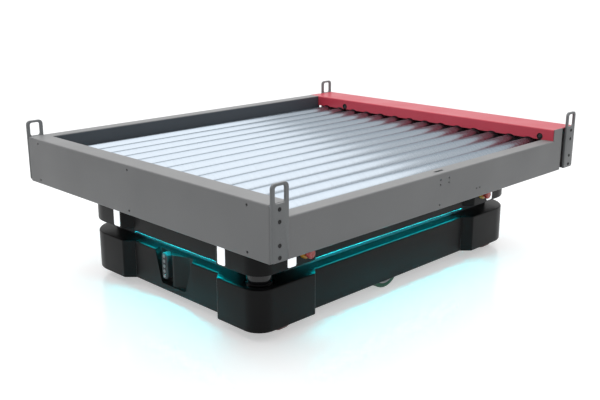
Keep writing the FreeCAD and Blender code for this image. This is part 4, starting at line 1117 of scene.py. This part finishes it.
@dataclass
class LightStrips:
    """Lit strips that face down under the cover, and a short one under each scanner tower."""

    plan: BasePlan
    panels: LowerPanels
    under: float = 0.197
    under_tower: float = 0.206
    depth: float = 0.0015
    width: float = 0.010
    inset: float = 0.004
    end_gap: float = 0.002
    tower_inset: float = 0.016
    tower_length: float = 0.040

    def strip(self, axis: Axis, run: tuple[float, float], face: float, top: float, shape: Shape) -> None:
        """Add one strip.

        Args:
            axis: Row axis it runs along.
            run: Where it starts and stops on that axis.
            face: Its outer edge across that axis.
            top: Height it hangs from.
            shape: Shape to add to.
        """
        inner = face - math.copysign(self.width, face)
        low, high = [0.0, 0.0, top - self.depth], [0.0, 0.0, top]
        low[axis.value], high[axis.value] = run
        low[1 - axis.value], high[1 - axis.value] = sorted((inner, face))
        soft_box(tuple(low), tuple(high), 0.0006, axis, shape)

    def make(self) -> None:
        """Build the strips."""
        strips = Shape()
        for sign in (-1, 1):
            for axis in (Axis.X, Axis.Y):
                start, stop = self.panels.run(axis, sign)
                face = sign * (self.plan.panel[1 - axis.value] - self.inset)
                self.strip(axis, (start + self.end_gap, stop - self.end_gap), face, self.under, strips)
            near = self.plan.outer[1] - SCANNER_ARMS.across
            run = tuple(sorted((sign * near, sign * (near + self.tower_length))))
            self.strip(Axis.Y, run, sign * (self.plan.outer[0] - self.tower_inset), self.under_tower, strips)
        place_piece(strips.build("light_strip_bars"), LAMP_CYAN, "base", ("light_strips",))


@dataclass
class EmergencyStops:
    """Red mushroom heads on yellow collars, one on each tower's long face."""

    plan: BasePlan
    level: float = 0.246
    edge_gap: float = 0.047
    collar_radius: float = 0.020
    collar_depth: float = 0.012
    head_radius: float = 0.0155
    head_depth: float = 0.014
    dome_round: float = 0.006
    stem_radius: float = 0.008
    stem_length: float = 0.020
    bore_gap: float = 0.0005
    travel: float = 0.007

    def collar(self) -> Array:
        """Closed profile of a collar, as distance from the tower's face and radius."""
        depth, radius, bore = self.collar_depth, self.collar_radius, self.stem_radius + self.bore_gap
        return np.array([(0, radius), (depth - 0.004, radius), (depth - 0.001, radius - 0.002),
                         (depth, radius - 0.005), (depth, bore + 0.0025), (depth - 0.003, bore), (0, bore)])

    def head(self) -> Array:
        """Profile of a head: its stem, its flat back, a rounded rim and a flat face."""
        dome, turn = self.dome_round, arc(90, 0, 7)
        rim = np.stack([self.head_depth - dome + dome * np.cos(turn),
                        self.head_radius - dome + dome * np.sin(turn)], 1)
        stem = [(-self.travel - self.stem_length, self.stem_radius), (0.001, self.stem_radius)]
        back = [(0.0015, self.head_radius - 0.003), (0.003, self.head_radius)]
        return np.concatenate([stem, back, rim, [(self.head_depth, self.head_radius * 0.4)]])

    def make(self) -> None:
        """Build the collars as one piece and each head as its own."""
        collars = Shape()
        order = {(-1, -1): 1, (1, 1): 2, (-1, 1): 3, (1, -1): 4}
        for signs, arms in CORNERS:
            centre = (signs[0] * (self.plan.outer[0] - arms.along + self.edge_gap), self.level)
            face = self.plan.outer[1]
            collar, head = self.collar(), self.head()
            collar[:, 0] = signs[1] * (face + collar[:, 0])
            turned(collar, centre, Axis.Y, 56, ring=True, shape=collars)
            head[:, 0] = signs[1] * (face + self.collar_depth + self.travel + head[:, 0])
            name = f"stop_head_{order[signs]}"
            mushroom = turned(head, centre, Axis.Y, 56).build(f"{name}_mushroom")
            place_piece(mushroom, STOP_RED, name, (name,))
        place_piece(collars.build("stop_collar_rings"), STOP_YELLOW, "base", ("stop_collars",))


@dataclass
class Scanners:
    """The two safety scanners: a dark window drum between two rims, on a housing."""

    place: tuple[float, float] = (0.609, 0.389)
    core: tuple[float, float] = (0.599, 0.379)
    box: float = 0.062
    box_levels: tuple[float, float] = (0.1355, 0.164)
    box_round: float = 0.003
    glass_foot: float = 0.1700
    glass_height: float = 0.0305
    glass_radius: float = 0.0382
    glass_swell: float = 0.0016

    def make(self) -> None:
        """Build the drums, their glossy windows and the housings behind them."""
        bodies, glass = Shape(), Shape()
        drum = np.array([(0.136, 0.038), (0.150, 0.039), (0.163, 0.039), (0.166, 0.0405),
                         (0.1675, 0.041), (0.1695, 0.0405), (0.1705, 0.0385), (0.1705, 0.030)])
        cap = np.array([(0.2000, 0.030), (0.2000, 0.0395), (0.2010, 0.0405), (0.2040, 0.0408),
                        (0.2055, 0.040), (0.2058, 0.030)])
        share = np.linspace(0, 1, 9)
        window = np.stack([self.glass_foot + self.glass_height * share,
                           self.glass_radius + self.glass_swell * np.sin(math.pi * share)], 1)
        for sign in (-1, 1):
            centre = (sign * self.place[0], sign * self.place[1])
            for profile, shape in ((drum, bodies), (cap, bodies), (window, glass)):
                turned(profile, centre, Axis.Z, 72, shape=shape)
            spans = [sorted((sign * (core - self.box), sign * core)) for core in self.core]
            low, high = zip(*spans, self.box_levels)
            soft_box(low, high, self.box_round, Axis.Z, bodies)
        place_piece(bodies.build("scanner_housings"), MOULDED_BLACK, "base",
                    ("safety_scanners",))
        place_piece(glass.build("scanner_windows"), GLOSS_BLACK, "base")


# ------------------------------------------------------------------ running gear


@dataclass
class Wheels:
    """Drive wheels and caster wheels with their tyres, hubs and bolts."""

    drive_x: float = -0.050
    drive_outer: float = 0.412
    drive_radius: float = 0.075
    drive_width: float = 0.050
    drive_tread: float = 0.015
    drive_shoulder: float = 0.006
    bolts: int = 8
    bolt_circle: float = 0.034
    caster_place: tuple[float, float] = (0.548, 0.362)
    caster_trail: float = 0.034
    caster_radius: float = 0.050
    caster_width: float = 0.032
    caster_tread: float = 0.010
    caster_shoulder: float = 0.005

    def tyre(self, low: float, high: float, radius: float, bore: float, shoulder: float) -> Array:
        """Profile of a tyre: a crowned tread between round shoulders, closed at the rim."""
        turn = arc(90, 0, 5)
        right = np.stack([high - shoulder + shoulder * np.cos(turn),
                          radius - shoulder + shoulder * np.sin(turn)], 1)
        left = np.stack([low + high - right[::-1, 0], right[::-1, 1]], 1)
        return np.concatenate([[(low, bore)], left, right, [(high, bore)]])

    def drive(self) -> None:
        """Build each drive wheel's tyre and its dished hub with eight bolts."""
        for name, sign in (("right", -1), ("left", 1)):
            body = f"drive_wheel_{name}"
            span = sorted((sign * self.drive_outer, sign * (self.drive_outer - self.drive_width)))
            rim = self.drive_radius - self.drive_tread
            centre = (self.drive_x, self.drive_radius)
            profile = self.tyre(*span, self.drive_radius, rim, self.drive_shoulder)
            tyre = turned(profile, centre, Axis.Y, 96, ring=True)
            place_piece(tyre.build(f"{body}_tyre"), TYRE_GREEN, body, (body,))
            face = self.drive_outer
            hub = np.array([(face - self.drive_width, rim), (face - 0.002, rim), (face - 0.001, rim - 0.002),
                            (face - 0.002, rim - 0.005), (face - 0.010, rim - 0.009), (face - 0.010, 0.024),
                            (face - 0.006, 0.020), (face - 0.005, 0.010)])
            back = np.array([(face - 0.128, 0.012), (face - 0.052, 0.012), (face - self.drive_width, 0.030)])
            profile = np.concatenate([back, hub])
            profile[:, 0] *= sign
            hubs = turned(profile, centre, Axis.Y, 64)
            for angle in np.arange(self.bolts) * 2 * math.pi / self.bolts:
                spot = (centre[0] + self.bolt_circle * math.cos(angle),
                        centre[1] + self.bolt_circle * math.sin(angle))
                bolt = np.array([(face - 0.011, 0.0045), (face - 0.0065, 0.0045), (face - 0.0058, 0.0036)])
                bolt[:, 0] *= sign
                turned(bolt, spot, Axis.Y, 6, shape=hubs)
            place_piece(hubs.build(f"{body}_hub"), RIM_STEEL, body)

    def casters(self) -> None:
        """Build each caster wheel's tread and its webbed hub."""
        for first, word in ((-1, "front"), (1, "rear")):
            for second, hand in ((-1, "right"), (1, "left")):
                body = f"caster_wheel_{word}_{hand}"
                middle = first * self.caster_place[0]
                centre = (second * self.caster_place[1] - self.caster_trail, self.caster_radius)
                half = self.caster_width / 2
                rim = self.caster_radius - self.caster_tread
                profile = self.tyre(middle - half, middle + half, self.caster_radius, rim,
                                    self.caster_shoulder)
                tyre = turned(profile, centre, Axis.X, 72, ring=True)
                place_piece(tyre.build(f"{body}_tread"), CASTER_BROWN, body, (body,))
                web = np.array([(half - 0.001, rim), (half - 0.002, rim - 0.003), (0.006, rim - 0.006),
                                (0.006, 0.014), (half - 0.001, 0.011), (half - 0.001, 0.00505)])
                loop = np.concatenate([web, (web * (-1, 1))[::-1]]) + (middle, 0)
                hub = turned(loop, centre, Axis.X, 56, ring=True)
                place_piece(hub.build(f"{body}_hub"), CASE_DARK, body)


# ------------------------------------------------------------------ roller module


@dataclass
class RollerBed:
    """The powered rollers, as tubes with rolled ends, bearing caps and belt pulleys."""

    count: int = 14
    pitch: float = 0.080
    middle: float = -0.003
    level: float = 0.409
    radius: float = 0.032
    span: tuple[float, float] = (-0.736, 0.654)
    bore: float = 0.00605
    pulley_radius: float = 0.0215
    pulley_step: float = 0.0006
    pulley_length: float = 0.030

    def tube_profile(self) -> Array:
        """Closed profile: tube with a rolled lip, a dished cap and the bore."""
        lip = np.array([(0.0, self.bore), (-0.0005, 0.0135), (0.003, 0.0145), (0.003, 0.0255),
                        (0.0005, 0.0275), (0.0, 0.0300), (0.0006, 0.0314), (0.0020, self.radius)])
        left = lip + (self.span[0], 0)
        right = (lip * (-1, 1))[::-1] + (self.span[1], 0)
        return np.concatenate([left, right])

    def pulley_profile(self) -> Array:
        """Closed profile of the pulley: two belt tracks between three slightly lower collars."""
        track, waist, length = self.pulley_radius, self.pulley_radius - self.pulley_step, self.pulley_length
        profile = np.array([(0, self.bore), (0, waist), (0.0028, waist), (0.003, track), (0.013, track),
                            (0.0133, waist), (0.0157, waist), (0.016, track), (0.026, track),
                            (0.0263, waist), (length, waist), (length, self.bore)])
        return profile + (self.span[1], 0)

    def make(self) -> None:
        """Build every roller on its own body."""
        for index in range(self.count):
            name = f"roller_{index + 1:02d}"
            centre = (self.middle + ((self.count - 1) / 2 - index) * self.pitch, self.level)
            tube = turned(self.tube_profile(), centre, Axis.X, 96, ring=True)
            place_piece(tube.build(f"{name}_tube"), ROLLER_STEEL, name, (name,))
            pulley = turned(self.pulley_profile(), centre, Axis.X, 48, ring=True)
            place_piece(pulley.build(f"{name}_pulley"), CASE_DARK, name)


@dataclass
class Lugs:
    """The four lifting lugs with rounded edges and eye, and their socket screws."""

    outer_x: float = 0.784
    width: float = 0.061
    faces: tuple[float, float] = (0.625, 0.633)
    levels: tuple[float, float] = (0.326, 0.537)
    eye_size: tuple[float, float] = (0.037, 0.046)
    eye_edge: float = 0.008
    screw_x: float = 0.757
    screw_levels: tuple[float, ...] = (0.338, 0.371, 0.435, 0.468)
    corner_rounds: tuple[float, ...] = (0.001, 0.008, 0.014, 0.014)
    eye_round: float = 0.008
    rim_round: float = 0.0016
    samples: int = 1440
    socket: float = 0.0026
    screw_steps: int = 48

    def plate(self, sign_x: int, sign_y: int, shape: Shape) -> None:
        """Add one lug.

        The plate's outline and its eye are both seen as distance against angle about the
        eye's middle, so a straight blend between them at each angle covers the face; the
        rims are quarter rounds.

        Args:
            sign_x: End of the robot.
            sign_y: Side of the robot.
            shape: Shape to add to.
        """
        inner_x = self.outer_x - self.width
        low, high = self.levels
        corners = np.array([(inner_x, low), (self.outer_x, low), (self.outer_x, high), (inner_x, high)])
        outline = rounded_path(corners, self.corner_rounds, True, 8)
        middle = np.array([self.outer_x - self.width / 2, high - self.eye_edge - self.eye_size[1] / 2])
        half = np.array(self.eye_size) / 2
        eye = rectangle(tuple(middle - half), tuple(middle + half), self.eye_round, 10)
        count = self.samples + 1
        fine = [np.stack([np.interp(np.linspace(0, len(loop), count), np.arange(len(loop) + 1),
                                    np.append(loop[:, axis], loop[0, axis]))
                          for axis in (0, 1)], 1)[:-1] - middle
                for loop in (outline, eye)]
        steps = np.sort(np.concatenate([np.arctan2(*(outline - middle).T[::-1]), arc(-180, 180, 65)[:-1]]))
        lines = []
        for loop in fine:
            angle = np.arctan2(loop[:, 1], loop[:, 0])
            order = np.argsort(angle)
            reach = np.linalg.norm(loop, axis=1)[order]
            reach = np.interp(steps, angle[order], reach, period=2 * math.pi)
            lines.append(middle + reach[:, None] * np.stack([np.cos(steps), np.sin(steps)], 1))
        rim = edge_profile(*self.faces, self.rim_round, self.rim_round, steps=4)
        rows = [raise_path(offset_path(lines[0], inset, True), level, Axis.Y) for inset, level in rim]
        rows += [raise_path(offset_path(lines[1], -inset, True), level, Axis.Y) for inset, level in rim[::-1]]
        shape.grid(np.array(rows) * (sign_x, sign_y, 1), loop_rows=True, loop_columns=True)

    def screw(self, sign_x: int, sign_y: int, level: float, shape: Shape) -> None:
        """Add one low screw: a domed rim and a hexagon socket.

        Args:
            sign_x: End of the robot.
            sign_y: Side of the robot.
            level: Height of its axis.
            shape: Shape to add to.
        """
        angle = np.linspace(0, 2 * math.pi, self.screw_steps, endpoint=False)
        flat = self.socket / np.cos((angle + math.pi / 6) % (math.pi / 3) - math.pi / 6)
        face = self.faces[1]
        rings = [(face - 0.010, 0.0038), (face, 0.0038), (face, 0.0060), (face + 0.0007, 0.0060),
                 (face + 0.0014, 0.0052), (face + 0.0016, 0.0040)]
        rows = [np.tile(ring, (len(angle), 1)) for ring in rings]
        rows += [np.stack([np.full(len(angle), face + height), flat], 1) for height in (0.0015, 0.0003)]
        grid = np.array(rows)
        points = np.stack([sign_x * self.screw_x + grid[..., 1] * np.cos(angle), sign_y * grid[..., 0],
                           level + grid[..., 1] * np.sin(angle)], -1)
        shape.grid(points, loop_columns=True, lids=True)

    def make(self) -> None:
        """Build the lugs and all their screws."""
        plates, screws = Shape(), Shape()
        for sign_x in (-1, 1):
            for sign_y in (-1, 1):
                self.plate(sign_x, sign_y, plates)
                for level in self.screw_levels:
                    self.screw(sign_x, sign_y, level, screws)
        place_piece(plates.build("lug_plates"), LUG_GREY, "base", ("lifting_lugs",))
        place_piece(screws.build("lug_socket_screws"), SCREW_BLACK, "base", ("lug_screws",))


@dataclass
class RivetNuts:
    """The blind rivet nuts behind the spare holes of both end plates."""

    inside: float = 0.781
    places: tuple[float, float, float] = (-0.5375, 0.009, 0.5555)
    levels: tuple[float, float] = (0.337, 0.466)
    radius: float = 0.0058
    length: float = 0.009

    def make(self) -> None:
        """Build the nuts as one piece."""
        nuts = Shape()
        profile = np.array([(0.0001, self.radius - 0.0004), (0.0006, self.radius), (0.0030, self.radius),
                            (self.length, self.radius - 0.0010)])
        for sign in (-1, 1):
            ends = profile.copy()
            ends[:, 0] = sign * (self.inside - profile[:, 0])
            for place in self.places:
                for level in self.levels:
                    turned(ends, (place, level), Axis.X, 24, shape=nuts)
        place_piece(nuts.build("end_plate_rivet_nuts"), SCREW_BLACK, "base")


@dataclass
class PhotoEyes:
    """Two round sensors in the red cover's face."""

    face: float = 0.641
    level: float = 0.452
    places: tuple[float, float] = (0.407, -0.569)
    radius: float = 0.012

    def make(self) -> None:
        """Build the barrels with a rolled rim and a dark lens."""
        barrels, lenses = Shape(), Shape()
        rim = self.radius
        for place in self.places:
            barrel = np.array([(0.038, 0.004), (0.039, rim - 0.0005), (0, rim - 0.0002), (-0.0004, rim),
                               (-0.0013, rim - 0.0004), (-0.0015, rim - 0.0014), (-0.0010, rim - 0.0026),
                               (0.0015, rim - 0.003)]) + (self.face, 0)
            turned(barrel, (place, self.level), Axis.X, 48, shape=barrels)
            lens = np.array([(0.0010, 0.0088), (0.0004, 0.0075), (0, 0.004)]) + (self.face, 0)
            turned(lens, (place, self.level), Axis.X, 48, shape=lenses)
        place_piece(barrels.build("photo_eye_barrels"), RECESS_BLACK, "base", ("photo_eyes",))
        place_piece(lenses.build("photo_eye_lenses"), GLOSS_BLACK, "base")


def dress_structure() -> None:
    """Give every CAD node that stays visible its finish."""
    dress_node(PLATE_GREY, "front_end_plate", "rear_end_plate", "low_side_plate", "far_side_plate")
    dress_node(GUIDE_GREY, "far_guide_panel")
    dress_node(COVER_RED, "drive_cover")
    dress_node(FRAME_DARK, "chassis", "conveyor_frame")
    dress_node(AXLE_STEEL, "roller_axles")
    dress_node(BELT_BLACK, "drive_belts")
    dress_node(MOTOR_CAST, "drive_gearmotors")
    dress_node(ZINC, "caster_flanges", *[f"caster_fork_{end}_{hand}" for end in ("front", "rear")
                                          for hand in ("right", "left")])
    dress_node(CASE_DARK, "battery_case")
    dress_node(CASE_ALLOY, "computer_case")


# ------------------------------------------------------------------ studio


@dataclass
class Studio:
    """Pale floor, soft overhead light, plain surround and the camera."""

    camera_place: tuple[float, float, float] = (-2.1481, -2.0985, 1.0548)
    heading: float = 45.03
    pitch: float = -15.55
    lens: float = 50.0
    key_power: float = 84.0
    sky: float = 0.50
    # Painted light: white floor emission strength near the robot and far off, and the distances it fades
    # over.
    floor_painted_light: tuple[float, float] = (0.45, 0.36)
    floor_painted_light_span: tuple[float, float] = (0.6, 1.7)
    floor_lit: tuple[float, ...] = (0.30, 0.30, 0.30)
    floor_seen: tuple[float, ...] = (0.86, 0.865, 0.87)
    floor_roughness: float = 0.16
    floor_rings: tuple[float, ...] = (0.001, 1.5, 4.0, 12.0, 60.0)
    floor_steps: int = 96
    lamp_place: tuple[float, float, float] = (0.2, 0.2, 2.6)
    lamp_side: float = 5.0

    def floor(self) -> None:
        """Lay the floor: pale and glossy to the eye, dimmer to bounced light, with painted light that lifts
        the robot's shadow.
        """
        angle = np.linspace(0, 2 * math.pi, self.floor_steps, endpoint=False)
        radii = np.array(self.floor_rings)[:, None]
        flat = radii * np.zeros(self.floor_steps)
        rows = np.stack([radii * np.cos(angle), radii * np.sin(angle), flat], -1)
        shape = Shape().grid(rows, loop_columns=True)
        floor = shape.build("studio_floor", shell=True)
        material = bpy.data.materials.new("studio_floor")
        material.use_nodes = True
        wiring = Wiring(material.node_tree)
        shader = wiring.add("BsdfPrincipled")
        paths = wiring.add("LightPath")
        seen = wiring.math("MAXIMUM", paths.outputs["Is Camera Ray"], paths.outputs["Is Glossy Ray"])
        wiring.join(wiring.blend(seen, self.floor_lit, self.floor_seen), shader, "Base Color")
        place = wiring.add("TexCoord").outputs["Object"]
        away = wiring.add("VectorMath", operation="LENGTH")
        wiring.join(place, away, 0)
        # Painted light: white emission, stronger near the robot than far off, that lifts the floor out of the
        # robot's shadow; camera and glossy rays see it.
        painted_light = wiring.spread(away.outputs["Value"], self.floor_painted_light_span, self.floor_painted_light)
        shader.inputs["Emission Color"].default_value = (1.0, 1.0, 1.0, 1.0)
        wiring.join(wiring.math("MULTIPLY", painted_light, seen), shader, "Emission Strength")
        shader.inputs["Roughness"].default_value = self.floor_roughness
        wiring.join(shader.outputs[0], wiring.add("OutputMaterial"), "Surface")
        floor.data.materials.append(material)

    def surround(self) -> None:
        """Set the world: white where it is seen, a soft plain level where it lights."""
        world = bpy.data.worlds.new("studio")
        world.use_nodes = True
        bpy.context.scene.world = world
        wiring = Wiring(world.node_tree)
        paths = wiring.add("LightPath")
        seen = wiring.math("MAXIMUM", paths.outputs["Is Camera Ray"],
                           wiring.math("MAXIMUM", paths.outputs["Is Glossy Ray"],
                                       paths.outputs["Is Transmission Ray"]))
        background = wiring.add("Background")
        background.inputs["Color"].default_value = (1.0, 1.0, 1.0, 1.0)
        wiring.join(wiring.spread(seen, (0.0, 1.0), (self.sky, 1.0)), background, "Strength")
        wiring.join(background.outputs[0], wiring.add("OutputWorld"), "Surface")

    def lamps(self) -> None:
        """Hang one large soft light over the robot."""
        data = bpy.data.lights.new("overhead_softbox", "AREA")
        data.shape, data.energy = "RECTANGLE", self.key_power
        data.size = data.size_y = self.lamp_side
        lamp = bpy.data.objects.new("overhead_softbox", data)
        lamp.location = self.lamp_place
        bpy.context.scene.collection.objects.link(lamp)

    def camera(self) -> None:
        """Stand the camera at the viewing angle."""
        data = bpy.data.cameras.new("camera")
        data.lens, data.sensor_width = self.lens, 36.0
        data.clip_start, data.clip_end = 0.05, 100.0
        camera = bpy.data.objects.new("camera", data)
        camera.location = self.camera_place
        camera.rotation_euler = (math.radians(90 + self.pitch), 0.0, math.radians(self.heading - 90))
        bpy.context.scene.collection.objects.link(camera)
        bpy.context.scene.camera = camera

    def make(self) -> None:
        """Set up the whole studio."""
        bpy.context.scene.view_settings.view_transform = "Standard"
        self.floor()
        self.surround()
        self.lamps()
        self.camera()


def main() -> None:
    """Build every sub-assembly in order, then the studio."""
    logging.basicConfig(level=logging.INFO, format="%(name)s %(message)s")
    plan = BasePlan()
    panels = LowerPanels(plan)
    Bumpers(plan).make()
    panels.make()
    recess = Recess()
    recess.tray()
    recess.keypad()
    UpperCover(plan).make()
    LightStrips(plan, panels).make()
    EmergencyStops(plan).make()
    Scanners().make()
    wheels = Wheels()
    wheels.drive()
    wheels.casters()
    RollerBed().make()
    Lugs().make()
    RivetNuts().make()
    PhotoEyes().make()
    dress_structure()
    Studio().make()


if __name__ == "__main__":
    main()
